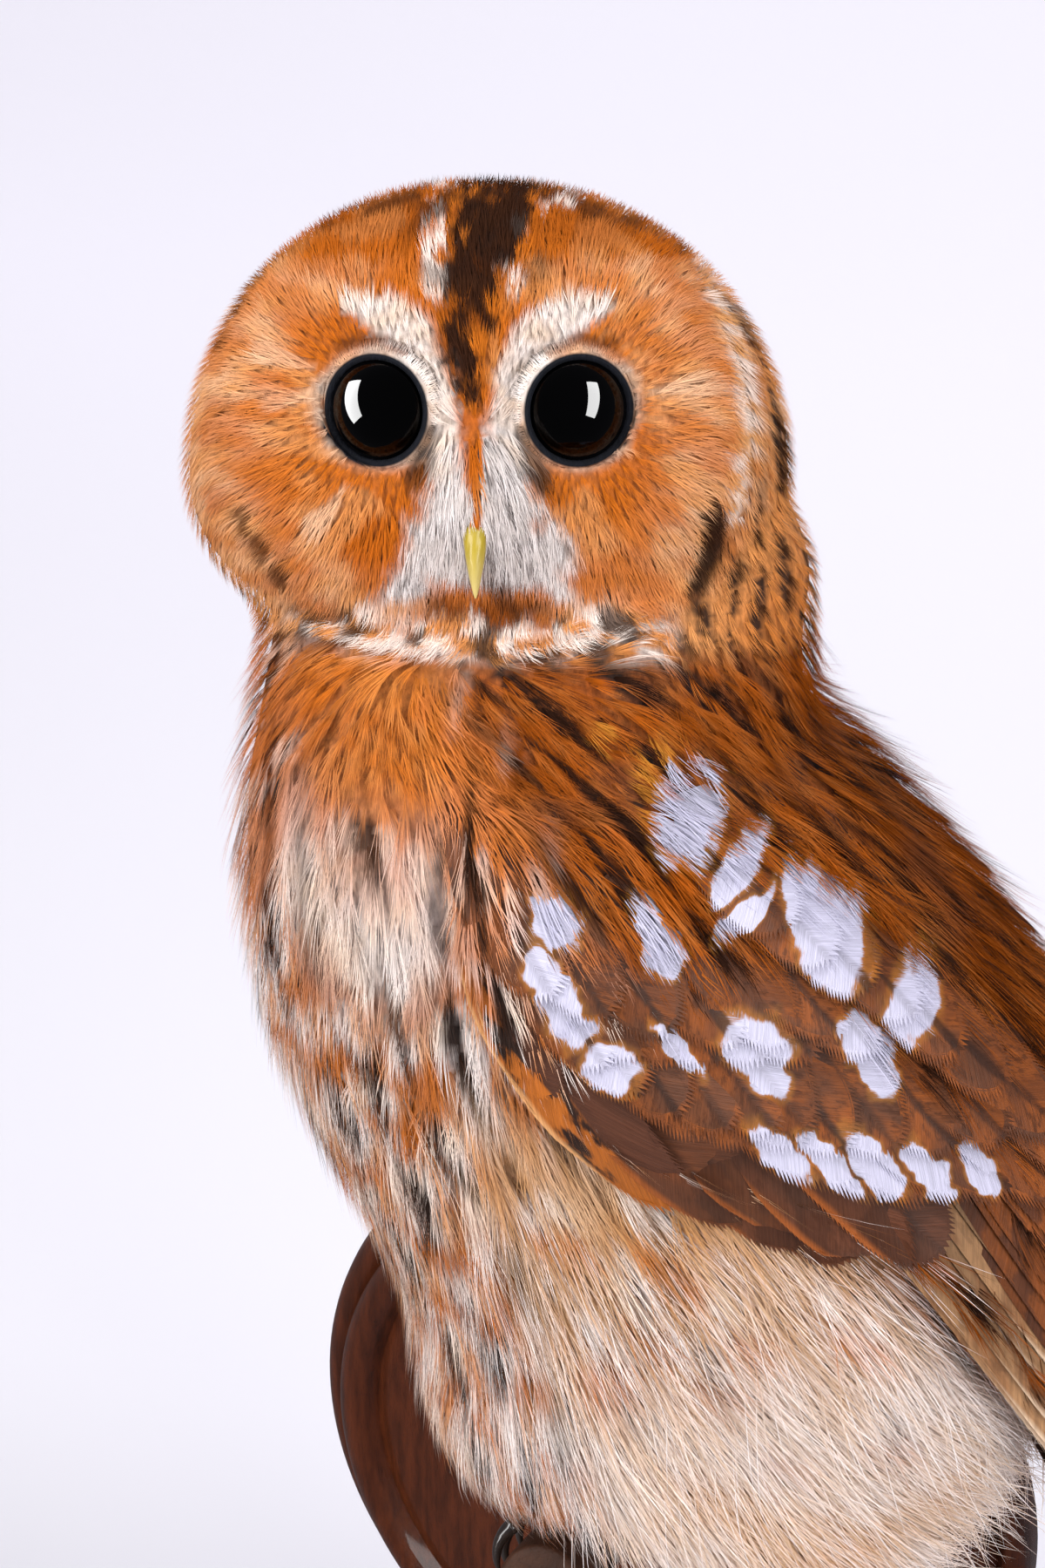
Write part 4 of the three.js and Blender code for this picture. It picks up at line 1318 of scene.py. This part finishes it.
def firm_finish(name, scribble=0.7, bars=16.0, outer=None, inner=None, edge=None, sweep=0.22,
                spots=False, smoke=0.0):
    """outer, inner and edge recolour the outer web, the inner web and the outer margin."""
    f = Finish(name, Roughness=0.5, Specular_IOR_Level=0.28)
    mark = f.attribute("vane")
    u, v, number = (f.part(mark, axis) for axis in range(3))
    outwards = f.attribute("outer", "Fac")
    tone, streak = f.attribute("tone", "Color"), f.attribute("tone", "Alpha")
    second, amount = f.attribute("second", "Color"), f.attribute("second", "Alpha")
    shift = number * 37.0
    side = u.abs()
    web = u * outwards
    barb = v - side * sweep
    wander = f.noise(f.vector(u * 1.5, v * 3.6, shift), 1.0, 3.0)
    lines = f.noise(f.vector(u * 1.4, barb * 120.0, shift), 1.0, 2.0, 0.7)
    speckle = f.noise(f.vector(u * 4.0, barb * 24.0, shift), 1.0, 4.0, 0.7)
    band = ((barb * bars + wander * 5.0 + shift).sin()).over(-0.1, 0.6)
    colour = f.blend(band * amount, tone, second)
    smoky = f.noise(f.vector(u * 0.8, v * 2.2, shift + 5.0), 1.0, 2.0).over(0.46, 0.62)
    colour = f.blend(smoky * smoke, colour, tuple(SMOKE * 0.7))
    scribbles = speckle.over(0.48, 0.60) * wander.over(0.34, 0.56) * scribble
    colour = f.blend(scribbles, colour, tuple(BROWN * 0.55))
    if inner is not None:
        colour = f.blend(web.over(0.10, -0.10), colour, tuple(inner))
    if outer is not None:
        blotch = f.blend((wander + speckle * 0.25).over(0.62, 0.71), tuple(outer), tuple(BLACK * 1.4))
        colour = f.blend(web.over(0.02, 0.12), colour, blotch)
    white = 0.0
    if spots:
        colour, white = with_spots(f, colour, (lines - 0.5) * 0.30 + (speckle - 0.5) * 0.22)
    dark = (side + wander * 0.30 - 0.15).over(0.18, 0.05)
    colour = f.blend(dark * streak * v.over(0.05, 0.4) * (1 - white * 0.7), colour, tuple(BLACK * 1.3))
    if edge is not None:
        colour = f.blend(web.over(0.80, 0.97), colour, tuple(edge))
    # painted shade: besides the barb lines, each vane is darker towards its root, as shade from the feather
    # over it
    shade = (lines.over(0.25, 0.8) * 0.42 + 0.78) * (v.over(0.1, 0.7) * 0.35 + 0.65)
    f.set(Base_Color=f.scaled(colour, shade))
    f.bump(lines, 0.0003, 0.5)
    return f.material


COVERT = np.array([0.200, 0.052, 0.009])
COVERT_DARK = np.array([0.085, 0.028, 0.013])
QUILL_BUFF = np.array([0.52, 0.27, 0.12])
covert_finish = firm_finish("scribbled covert", spots=True, smoke=0.65)
alula_finish = firm_finish("two-webbed alula", scribble=0.2, outer=ORANGE * 0.75, edge=BUFF)
quill_finish = firm_finish("barred quill", scribble=0.35, bars=34.0, sweep=0.06)
plain_finish = firm_finish("plain covert", scribble=0.4, bars=9.0, smoke=0.4, edge=COVERT * 1.6)
primary_finish = firm_finish("buff quill", scribble=0.3, bars=34.0, inner=BROWN * 0.8, edge=CREAM,
                             sweep=0.06)
print("nodes in a firm finish:", len(primary_finish.node_tree.nodes))

# %% [markdown]
# The folded wing is a fan of stiff quills under rows of coverts. Its feathers are few and
# large, so each one has its place: a root and a tip in lean measure, a down the folded wing
# and h up towards the back. Every row lies over the roots of the next, and in a row the
# feather nearer the back lies over the one below it.

# %% How a wing's feathers are placed
firm_vane = vane(18, 6, 0.14, 0.07)
soft_vane = vane(14, 6, 0.42, 0.14)
round_vane = vane(14, 6, 0.30, 0.05)
VANE_CAMBER, VANE_DEPTH = 0.10, 3.0  # how far its edges bend down, and how deep its root lies
print("faces of a vane:", [len(shape[1]) for shape in (firm_vane, soft_vane, round_vane)])


def side_paths(root, tip, bow, side, steps, rng):
    """Midribs over one side of the bird, from root to tip in lean measure."""
    t = np.linspace(0, 1, steps + 1)
    along = tip - root
    normal = unit(np.stack([-along[:, 1], along[:, 0]], axis=1))
    line = root[:, None] + along[:, None] * t[None, :, None]
    line = line + (bow[:, None] * np.sin(math.pi * t))[..., None] * normal[:, None]
    line = line + rng.normal(0, 0.3, (len(root), 1, 2))
    flat = line.reshape(-1, 2)
    places, normals = on_side(flat[:, 0], flat[:, 1], side)
    path, lay = places.reshape(*line.shape[:2], 3), normals.reshape(*line.shape[:2], 3)
    for _ in range(3):
        path[:, 1:-1] = (path[:, :-2] + 2 * path[:, 1:-1] + path[:, 2:]) / 4
        lay[:, 1:-1] = unit(lay[:, :-2] + 2 * lay[:, 1:-1] + lay[:, 2:])
    return path, lay


def wing_group(name, side, tips, lengths, widths, shape, finish, slot, tone, second, lift, seed,
               rise=0.0, bow=0.0, amount=0.4, streak=0.8, roll=-0.12, steps=8, roots_at=None):
    """One group of large feathers on one wing, given by their tips, lengths and half widths."""
    rng = np.random.default_rng(seed + (side > 0))
    tips = np.array(tips, float)
    count = len(tips)
    lengths, widths, bows = (np.broadcast_to(np.asarray(x, float), count) for x in (lengths, widths, bow))
    if roots_at is None:
        roots_at = tips - lengths[:, None] * unit(np.array([1.0, rise]))
    root = np.array(roots_at, float)
    path, lay = side_paths(root, tips, bows, side, steps, rng)
    shade = rng.normal(1, 0.12, (count, 1))
    tones = {"tone": np.column_stack([np.clip(mix(*tone, rng.random(count)) * shade, 0, 1),
                                      streak * rng.uniform(0.5, 1.2, count).clip(0, 1)]),
             "second": np.column_stack([np.tile(second, (count, 1)), np.full(count, amount)]),
             "outer": np.full((count, 1), -float(side))}
    order = 0.7 * np.arange(count) / max(1, count - 1)
    piece = grow(f"{name}_{'left' if side > 0 else 'right'}", shape, path, lay, widths, VANE_CAMBER,
                 VANE_DEPTH, lift + order, tones, seed + 5, ruffle=0.012, roll=roll * side)
    finish_piece(piece, finish, slot)


def line_of(points, count):
    points = np.array(points, float)
    t = np.linspace(0, len(points) - 1, count)
    return np.stack([np.interp(t, range(len(points)), points[:, k]) for k in range(points.shape[1])], axis=1)


# %% [markdown]
# From the top down, the rows are the long quills, the coverts over their roots, the alula
# along the wing's lower edge, and the soft feathers of the shoulder and scapulars.

# %% The folded wings


for side in (1, -1):
    tips = [[214, 2.5], [248, 1.5], [270, 1.2], [283, 1.0], [287, 1.6], [281, 3.5], [268, 6.5], [254, 10.5],
            [241, 14], [229, 17]]
    bases = np.stack([np.linspace(84, 96, 10), np.linspace(-4, 20, 10)], axis=1)
    wing_group("primaries", side, tips, 0, 7.6, firm_vane, primary_finish, "flight_feathers",
               (QUILL_BUFF, QUILL_BUFF * 0.75), COVERT, 0.2, 101, roots_at=bases, bow=1.5, amount=0.45,
               streak=0.3, roll=-0.18, steps=12)
    tips = line_of([[212, 19.5], [196, 24], [180, 28.5], [164, 32.5], [150, 35]], 9)
    wing_group("secondaries", side, tips, 100, 9.5, firm_vane, quill_finish, "flight_feathers",
               (COVERT * 1.5, COVERT * 1.1), COVERT_DARK, 1.3, 111, amount=0.75, streak=0.5,
               roll=-0.14, steps=12)
    tips = [[90, -13.5], [100, -9], [108, -4], [113, 3], [114, 10]]
    wing_group("primary_coverts", side, tips, 48, 8.5, round_vane, plain_finish, "plumage_rufous",
               (COVERT_DARK * 1.5, COVERT * 0.8), COVERT_DARK * 0.6, 0.9, 121, rise=0.12,
               amount=0.6, streak=0.5)
    rows = line_of([[86, 4], [98, 12], [110, 22], [132, 35]], 8)
    wing_group("greater_coverts", side, rows, 46, 7.4, soft_vane, covert_finish, "plumage_rufous",
               (COVERT * 0.9, COVERT * 1.35), COVERT_DARK, 1.6, 131, rise=0.08, roll=-0.2)
    wing_group("alula", side, [[47, -24], [54, -12], [79, -21.5]], 0, [5.5, 6.0, 8.5], round_vane,
               alula_finish, "flight_feathers", (COVERT_DARK * 0.9, COVERT_DARK * 1.2),
               COVERT_DARK * 0.6, 1.8, 141, roots_at=[[12, -17], [9, -11], [5, -13]],
               bow=[-4, -4, -6], amount=0.3, streak=0.2,
               roll=-0.10, steps=10)
    rows = np.concatenate([line_of([[48, -8], [56, 2], [66, 14], [80, 29]], 7),
                           line_of([[66, -6], [78, 4], [90, 15], [104, 28]], 7)])
    wing_group("plain_coverts", side, rows, 36, 7.5, soft_vane, covert_finish, "plumage_rufous",
               (COVERT, COVERT * 1.4), COVERT_DARK, 2.0, 145)
    rows = np.concatenate([line_of([[46, -14], [58, -11], [70, -1], [76, 6]], 6),
                           line_of([[30, -14], [44, -4], [58, 8], [66, 18]], 6)])
    wing_group("shoulder_coverts", side, rows, 34, 7.0, soft_vane, covert_finish, "plumage_rufous",
               (COVERT * 0.9, COVERT * 1.4), COVERT_DARK, 2.6, 151, roll=-0.16)
    rows = line_of([[46, 21], [66, 26], [92, 31], [126, 34]], 8)
    wing_group("scapulars", side, rows, np.linspace(26, 42, 8), 8.5, soft_vane, covert_finish,
               "plumage_rufous", (COVERT, COVERT * 1.5), COVERT_DARK, 3.4, 171)

# %% [markdown]
# The wing's shoulder is covered with small soft feathers that bury the roots of the coverts.
# They are too small to place one by one, so they grow as the body's coat does.

# %% Shoulder of the wing


def shoulder_share(owl):
    a, h = lean_of(owl)
    edge = smooth((h - wing_low(a) + 2) / 3) * smooth((wing_high(a) + 2 - h) / 4)
    ahead = smooth((46 - a - 0.35 * np.abs(h)) / 18)
    return edge * ahead * (np.abs(owl[:, 1]) > 18) * (owl[:, 0] < 26) * below_head(owl)


hair_coat("coat_shoulder", 61, 2.7, shoulder_share, lambda owl: np.full(len(owl), 17.0),
          hairs(13, 15, 0.045, 4), wing_hair, "plumage_rufous", depth=2.0, lift=3.8, width=0.20, carry=0.2)

# %% [markdown]
# The tail is twelve firm quills in a narrow fan, the middle pair on top. From below their
# paler undersides show. They are so alike that one rule places them all, once facing up and
# once facing down, a little apart, since a single layer can face only one way.

# %% Tail
TAIL_RISE = np.array([[150, 3], [200, -4], [250, -8], [303, -9]], float)
TAIL_FEATHERS = 12
t = np.linspace(0, 1, 11)
across = np.linspace(-1, 1, TAIL_FEATHERS)
a = 150 + ((303 - 9 * across ** 4 - 3 * across ** 2)[:, None] - 150) * t
left = across[:, None] * mix(16.0, 20.0, smooth((a - 150) / 100).ravel()).reshape(a.shape)
for face, word in ((1, "upper"), (-1, "under")):
    stand = face * mix(6.0, 1.7, smooth((a - 150) / 90).ravel()).reshape(a.shape)
    forward, up = lean_point(a, np.interp(a, *TAIL_RISE.T) - 3.5 * (left / 26) ** 2 + stand)
    path = np.stack([forward, left, up], axis=2)
    lay = np.broadcast_to(face * np.array([RISE[0], 0, RISE[1]]), path.shape).copy()
    lay[..., 1] = across[:, None] * 0.25 * face
    ones = np.ones((TAIL_FEATHERS, 1))
    tones = {"tone": np.hstack([ones * COVERT * (1.6 if face > 0 else 2.4), 0.6 * ones]),
             "second": np.hstack([ones * COVERT_DARK, 0.8 * ones]),
             "outer": -np.sign(across)[:, None]}
    lift = (1 - np.abs(across)) * 0.9
    tail = grow(f"tail_{word}", firm_vane, path, unit(lay), 9.0, 0.06, 0.0, lift, tones, 183, 0.01)
    finish_piece(tail, quill_finish, "flight_feathers")

# %% [markdown]
# The eyes are blown glass set into the head, black through and through but for what they
# mirror. A smooth ball stands in the socket of each one. The lid is a thin dark ring of
# skin round it: a torus joined to the skin, which is rounder than one cut from the skin.

# %% Eyes and lids
EYE_SPACING, EYE_RADIUS, EYE_FORWARD, EYE_TURN = 31.6, 10.4, 21.8, math.radians(17)


def eye_centre(side):
    return from_head(np.array([side * EYE_SPACING / 2, 0, EYE_FORWARD]))


def eye_axis(side):
    return np.array([side * math.sin(EYE_TURN), 0, math.cos(EYE_TURN)]) @ HEAD_AXES


glass = Finish("eye glass", Roughness=0.03, Specular_IOR_Level=0.5, IOR=1.22)
depth = glass.noise(glass.place(), 180, 2.0)
glass.set(Base_Color=glass.blend(depth, (0.00002, 0.00002, 0.00003), (0.00006, 0.00005, 0.00008)))
GLASS_RADIUS = 9.5
LID_RADIUS, LID_THICK, LID_FORWARD = 9.3, 0.95, 4.6
glass_eyes = {}
for node in ("eye_left", "eye_right"):
    low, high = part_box(node)
    middle = (Vector(low) + Vector(high)) / 2
    side = min((-1, 1), key=lambda k: (Vector(to_world(eye_centre(k))) - middle).length)
    axis = Vector(eye_axis(side) @ OWL_AXES)
    centre = Vector(to_world(eye_centre(side)))
    deselect()
    bpy.ops.mesh.primitive_uv_sphere_add(segments=64, ring_count=32, radius=GLASS_RADIUS * MM,
                                         location=centre + axis * ((EYE_RADIUS - GLASS_RADIUS) * MM))
    ball = settle(node + "_glass")
    bpy.ops.object.shade_smooth()
    finish_piece(ball, glass.material, "eye_glass", node)
    glass_eyes[side] = ball
    deselect()
    bpy.ops.mesh.primitive_torus_add(major_radius=LID_RADIUS * MM, minor_radius=LID_THICK * MM,
                                     major_segments=96, minor_segments=14,
                                     location=centre + axis * (LID_FORWARD * MM),
                                     rotation=axis.to_track_quat("Z", "Y").to_euler())
    settle("lid")
    skin.select_set(True)
    bpy.context.view_layer.objects.active = skin
    bpy.ops.object.join()
print("skin with lids:", len(skin.data.polygons), "faces")

# %% [markdown]
# Fine short feathers stand round each lid and hide its outer edge. The coat of the face
# can't come so close to the ball without growing over it, so a ring of tufts is set one by one.

# %% Fringe of the lids
FRINGE_COUNT = 150
# out from the eye's axis, and along it
FRINGE = np.array([[9.4, 5.2], [10.3, 5.2], [11.4, 4.7], [12.6, 4.0]])
paths, lays = [], []
for side in (-1, 1):
    axis = eye_axis(side)
    first = unit(np.cross(axis, HEAD_AXES[1]))
    second = np.cross(axis, first)
    for angle in np.linspace(0, 2 * math.pi, FRINGE_COUNT, endpoint=False):
        out = first * math.cos(angle) + second * math.sin(angle)
        paths.append([eye_centre(side) + out * r + axis * along for r, along in FRINGE])
        lays.append([unit(axis + out * 0.4)] * len(FRINGE))
path = np.array(paths)
fringe = grow("coat_lids", hairs(7, 17, 0.09, 2), path, np.array(lays), 0.9, 0.05, 0.2, 0.5, coat_tone, 57,
              ruffle=0.2, unwrap=unwrap_head(path[:, 0]), carry=0.0)
finish_piece(fringe, silky_hair, "plumage_rufous")

# %% [markdown]
# Bill and claws are horn, grown in fine layers and worn smooth. The bill is a dull yellow
# that turns pale at its tip, and the claws are nearly black. Both solids have the right hooks
# already, so each is copied, merged and rounded by subdivision. Modelling them anew would only
# risk another shape.

# %% Bill and claws


def horn_piece(node, finish, slot):
    """A rounded copy of a solid, in its place."""
    piece = copy_of([node], node + "_horn")
    apply_modifier(piece, "SUBSURF", levels=2, render_levels=2)
    activate(piece)
    bpy.ops.object.shade_smooth()
    finish_piece(piece, finish.material, slot, node)
    print(piece.name, len(piece.data.polygons), "faces")


horn = Finish("bill horn", Roughness=0.38, Specular_IOR_Level=0.45, Coat_Weight=0.25)
grain = horn.noise(horn.stretched(horn.place(), (1, 1, 0.2)), 700, 3.0)
tip_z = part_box("bill")[0][2]
pale = horn.part(horn.place(), 2).over(tip_z + 0.010, tip_z)
yellow = horn.blend(grain, (0.26, 0.19, 0.012), (0.46, 0.33, 0.022))
horn.set(Base_Color=horn.blend(pale, yellow, (0.60, 0.47, 0.16)))
horn.bump(grain, 0.0002)
horn_piece("bill", horn, "bill_horn")

claw_horn = Finish("claw horn", Roughness=0.22, Specular_IOR_Level=0.5, Coat_Weight=0.5)
grain = claw_horn.noise(claw_horn.place(), 900, 3.0)
claw_horn.set(Base_Color=claw_horn.blend(grain, (0.010, 0.008, 0.008), (0.035, 0.022, 0.016)))
for node in sorted(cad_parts):
    if node.startswith("claw_"):
        horn_piece(node, claw_horn, "claw_horn")

# %% [markdown]
# The plaque is turned on a lathe, so its edge is one outline swept round the middle: two
# rounded beads with a fillet between them, round a flat field. A cylinder with insets and
# bevels would come close, but a spun outline keeps each bead's own radius.

# %% Plaque
PLAQUE_RADIUS, PLAQUE_THICKNESS, FIELD_DEPTH = 97, 20, 17


def arc(radius, depth, r, start, end, count=10):
    """Points round a bead of radius r, from one angle to another in degrees."""
    angles = [math.radians(start + (end - start) * i / count) for i in range(count + 1)]
    return [(radius + r * math.cos(angle), depth + r * math.sin(angle)) for angle in angles]


profile = [(0, 0), (PLAQUE_RADIUS - 1, 0), (PLAQUE_RADIUS, 1), (PLAQUE_RADIUS, 7)]
profile += arc(PLAQUE_RADIUS - 4.5, 8, 4.2, 0, 130)
profile += arc(PLAQUE_RADIUS - 12.5, PLAQUE_THICKNESS - 5, 5, 20, 150)
profile += [(PLAQUE_RADIUS - 18.5, 15), (PLAQUE_RADIUS - 22, FIELD_DEPTH - 0.5),
            (PLAQUE_RADIUS - 24, FIELD_DEPTH), (0, FIELD_DEPTH)]
mesh = bpy.data.meshes.new("plaque_wood")
edges = [(i, i + 1) for i in range(len(profile) - 1)]
mesh.from_pydata([(x * MM, -y * MM, 0) for x, y in profile], edges, [])
plaque = new_piece("plaque_wood", mesh)
edit_all(plaque)
bpy.ops.mesh.spin(steps=144, angle=2 * math.pi, center=(0, 0, 0), axis=(0, 1, 0))
bpy.ops.mesh.select_all(action="SELECT")
bpy.ops.mesh.remove_doubles(threshold=1e-6)
bpy.ops.mesh.normals_make_consistent(inside=False)
bpy.ops.object.mode_set(mode="OBJECT")
bpy.ops.object.shade_smooth_by_angle(angle=math.radians(40))


def dark_wood(name, stretch, glow, gloss, varnish):
    wood = Finish(name, Roughness=gloss, Specular_IOR_Level=0.25, Coat_Weight=varnish, Coat_Roughness=0.07)
    grain = wood.noise(wood.stretched(wood.place(), stretch), 60, 4.0, 0.6)
    pores = wood.noise(wood.stretched(wood.place(), tuple(3 * s for s in stretch)), 160, 3.0, 0.7)
    tone = wood.blend(grain.over(0.3, 0.7), tuple(0.5 * g for g in glow), glow)
    tone = wood.blend(pores.over(0.50, 0.75) * 0.45, tone, (0.006, 0.003, 0.002))
    wood.set(Base_Color=tone)
    wood.bump(pores, 0.0003)
    return wood.material


stained = dark_wood("stained plaque", (6, 6, 1), (0.092, 0.020, 0.005), 0.22, 0.4)
finish_piece(plaque, stained, "dark_wood", "plaque")
print("plaque faces:", len(plaque.data.polygons))

# %% [markdown]
# The perch is a rough peg let into the plaque. A cylinder is laid along it, cut flat where
# it meets the field, and softened at its end. It gets the plaque's wood, only duller and
# without varnish.

# %% Perch
PERCH_ROOT, PERCH_END, PERCH_RADIUS = Vector((6, -18, 20)), Vector((19, -125, 65)), 9.2
way = PERCH_END - PERCH_ROOT
deselect()
bpy.ops.mesh.primitive_cylinder_add(vertices=64, radius=PERCH_RADIUS * MM, depth=(way.length + 8) * MM,
                                    location=(PERCH_ROOT + way.normalized() * (way.length - 8) / 2) * MM,
                                    rotation=way.to_track_quat("Z", "Y").to_euler())
perch = settle("perch_wood")
edit_all(perch)
bpy.ops.mesh.bisect(plane_co=(0, -(FIELD_DEPTH + 0.3) * MM, 0), plane_no=(0, 1, 0), use_fill=True,
                    clear_outer=True)
bpy.ops.object.mode_set(mode="OBJECT")
apply_modifier(perch, "BEVEL", width=1.4 * MM, segments=3, limit_method="ANGLE",
               angle_limit=math.radians(50))
activate(perch)
bpy.ops.object.shade_smooth_by_angle(angle=math.radians(40))
bark = dark_wood("perch bark", (2, 2, 2), (0.060, 0.022, 0.010), 0.60, 0.0)
finish_piece(perch, bark, "dark_wood", "perch")
print("perch length:", round(way.length), "mm")

# %% [markdown]
# Between the tufts a little skin shows, with the down on it. It is painted by the same
# functions as the coat, a little darker as painted shade under the coat, so that no seam
# or bald place shows. The lids are part of this mesh and are painted black.

# %% Skin finish
LID_BLACK = (0.004, 0.005, 0.010)
skin_points = to_owl(coords(skin.data))
base = coat_tone(skin_points)
for side in (-1, 1):
    off = skin_points - eye_centre(side)
    along = off @ eye_axis(side)
    from_axis = np.linalg.norm(off - along[:, None] * eye_axis(side), axis=1)
    base[(from_axis < LID_RADIUS + 0.35) & (along > 0)] = LID_BLACK
# painted shade: the skin takes the coat's colours, darkened because it lies under the coat
store(skin.data, "tone", "FLOAT_COLOR", np.column_stack([base * 0.85, np.ones(len(base))]))
f = Finish("feathered skin", Roughness=0.8, Specular_IOR_Level=0.2)
down_grain = f.noise(f.stretched(f.place(), (1, 1, 0.35)), 900, 3.0)
shade = down_grain.over(0.3, 0.75) * 0.5 + 0.6
f.set(Base_Color=f.scaled(f.attribute("tone", "Color"), shade))
f.bump(down_grain, 0.0006)
finish_piece(skin, f.material, "plumage_rufous", *FLESH)
print("skin's mean colour:", base.mean(axis=0).round(3))

# %% [markdown]
# A museum piece is shown against a plain pale sweep. The sweep is a floor that curves up
# into a wall far behind. It glows a little, so that it stays near white without strong
# lamps. Three soft lamps light the bird. In glass eyes they would mirror as large grey
# patches, so they leave the eyes out, and each eye has a tall lamp of its own, whose
# mirror image is the bright mark in it.

# %% Lamps
world = bpy.data.worlds.new("studio")
world.use_nodes = True
ambient = world.node_tree.nodes["Background"].inputs
ambient["Color"].default_value = (0.90, 0.90, 1.0, 1)
ambient["Strength"].default_value = 0.17
bpy.context.scene.world = world


def bearing(azimuth, elevation):
    az, el = math.radians(azimuth), math.radians(elevation)
    return Vector((math.sin(az) * math.cos(el), -math.cos(az) * math.cos(el), math.sin(el)))


def from_camera(x, y, z):
    """A direction given as right, up and towards the camera."""
    return (right * x + back.cross(right) * y + back * z).normalized()


def softbox(name, way, tall, size, power, eyes, state):
    """A soft lamp; its state says whether it lights only the given eyes or all but them."""
    aim = Vector((0.0, -0.1, 0.24))
    place = aim + way * 1.3
    lamp = bpy.data.lights.new(name, "AREA")
    lamp.shape = "RECTANGLE"
    lamp.size, lamp.size_y = size
    lamp.energy = power
    thing = bpy.data.objects.new(name, lamp)
    tall = (tall - way * tall.dot(way)).normalized()
    facing = Matrix((tall.cross(way), tall, way)).transposed().to_4x4()
    thing.matrix_world = Matrix.Translation(place) @ facing
    bpy.context.scene.collection.objects.link(thing)
    group = bpy.data.collections.new(name + "_eyes")
    for side in eyes:
        group.objects.link(glass_eyes[side])
    for member in group.collection_objects:
        member.light_linking.link_state = state
    thing.light_linking.receiver_collection = group


UP, BOTH = Vector((0, 0, 1)), (-1, 1)
softbox("strip_left", bearing(CAMERA_AZIMUTH - 52, 26), UP, (0.50, 1.7), 22, BOTH, "EXCLUDE")
softbox("strip_right", bearing(CAMERA_AZIMUTH + 36, 26), UP, (0.46, 1.7), 17, BOTH, "EXCLUDE")
softbox("top", bearing(10, 72), Vector((0, 1, 0)), (1.2, 0.8), 8, BOTH, "EXCLUDE")
softbox("glint_left", from_camera(-0.948, 0.175, 0.264), from_camera(0.15, 1.05, -0.34),
        (0.75, 1.7), 300, [-1], "INCLUDE")
softbox("glint_right", from_camera(0.67, 0.20, 0.715), from_camera(-0.06, 1.15, -0.30),
        (0.55, 1.7), 220, [1], "INCLUDE")

# %% Floor
SWEEP_WIDTH, SWEEP_DEPTH, SWEEP_HEIGHT, FLOOR_Z = 9.0, 6.0, 4.0, -0.16
deselect()
bpy.ops.mesh.primitive_plane_add(size=1, location=(0, 0, FLOOR_Z))
bpy.context.object.scale = (SWEEP_WIDTH, SWEEP_DEPTH, 1)
floor = settle("floor")
bpy.ops.object.mode_set(mode="EDIT")
bpy.ops.mesh.select_all(action="DESELECT")
bpy.ops.object.mode_set(mode="OBJECT")
for edge in floor.data.edges:
    edge.select = all(floor.data.vertices[v].co.y > 0 for v in edge.vertices)
bpy.ops.object.mode_set(mode="EDIT")
bpy.ops.mesh.extrude_region_move(TRANSFORM_OT_translate={"value": (0, 0, SWEEP_HEIGHT)})
bpy.ops.object.mode_set(mode="OBJECT")
apply_modifier(floor, "BEVEL", width=1.5, segments=16)
bpy.ops.object.shade_smooth()
f = Finish("pale sweep", Roughness=0.9, Specular_IOR_Level=0.1, Emission_Strength=0.56)
# painted shade: the sweep is darker and bluer towards the right, and darker towards the front
shade = f.part(f.place(), 0).over(0.05, 1.6)
behind = f.part(f.place(), 1).over(-0.1, 0.15)
near = f.part(f.place(), 1).over(1.6, 0.1)
glow = f.blend(shade, (0.91, 0.88, 0.98), (0.66, 0.62, 0.82))
glow = f.scaled(glow, 1 - near * 0.18)
paper = f.blend(shade, (0.80, 0.79, 0.83), (0.62, 0.60, 0.72))
f.set(Base_Color=f.scaled(paper, 1 - near * 0.30),
      Emission_Color=f.blend(behind, (0.02, 0.02, 0.02), glow))
floor.data.materials.append(f.material)
floor.visible_glossy = False
print("sweep faces:", len(floor.data.polygons))
bpy.context.scene.view_settings.view_transform = "Standard"
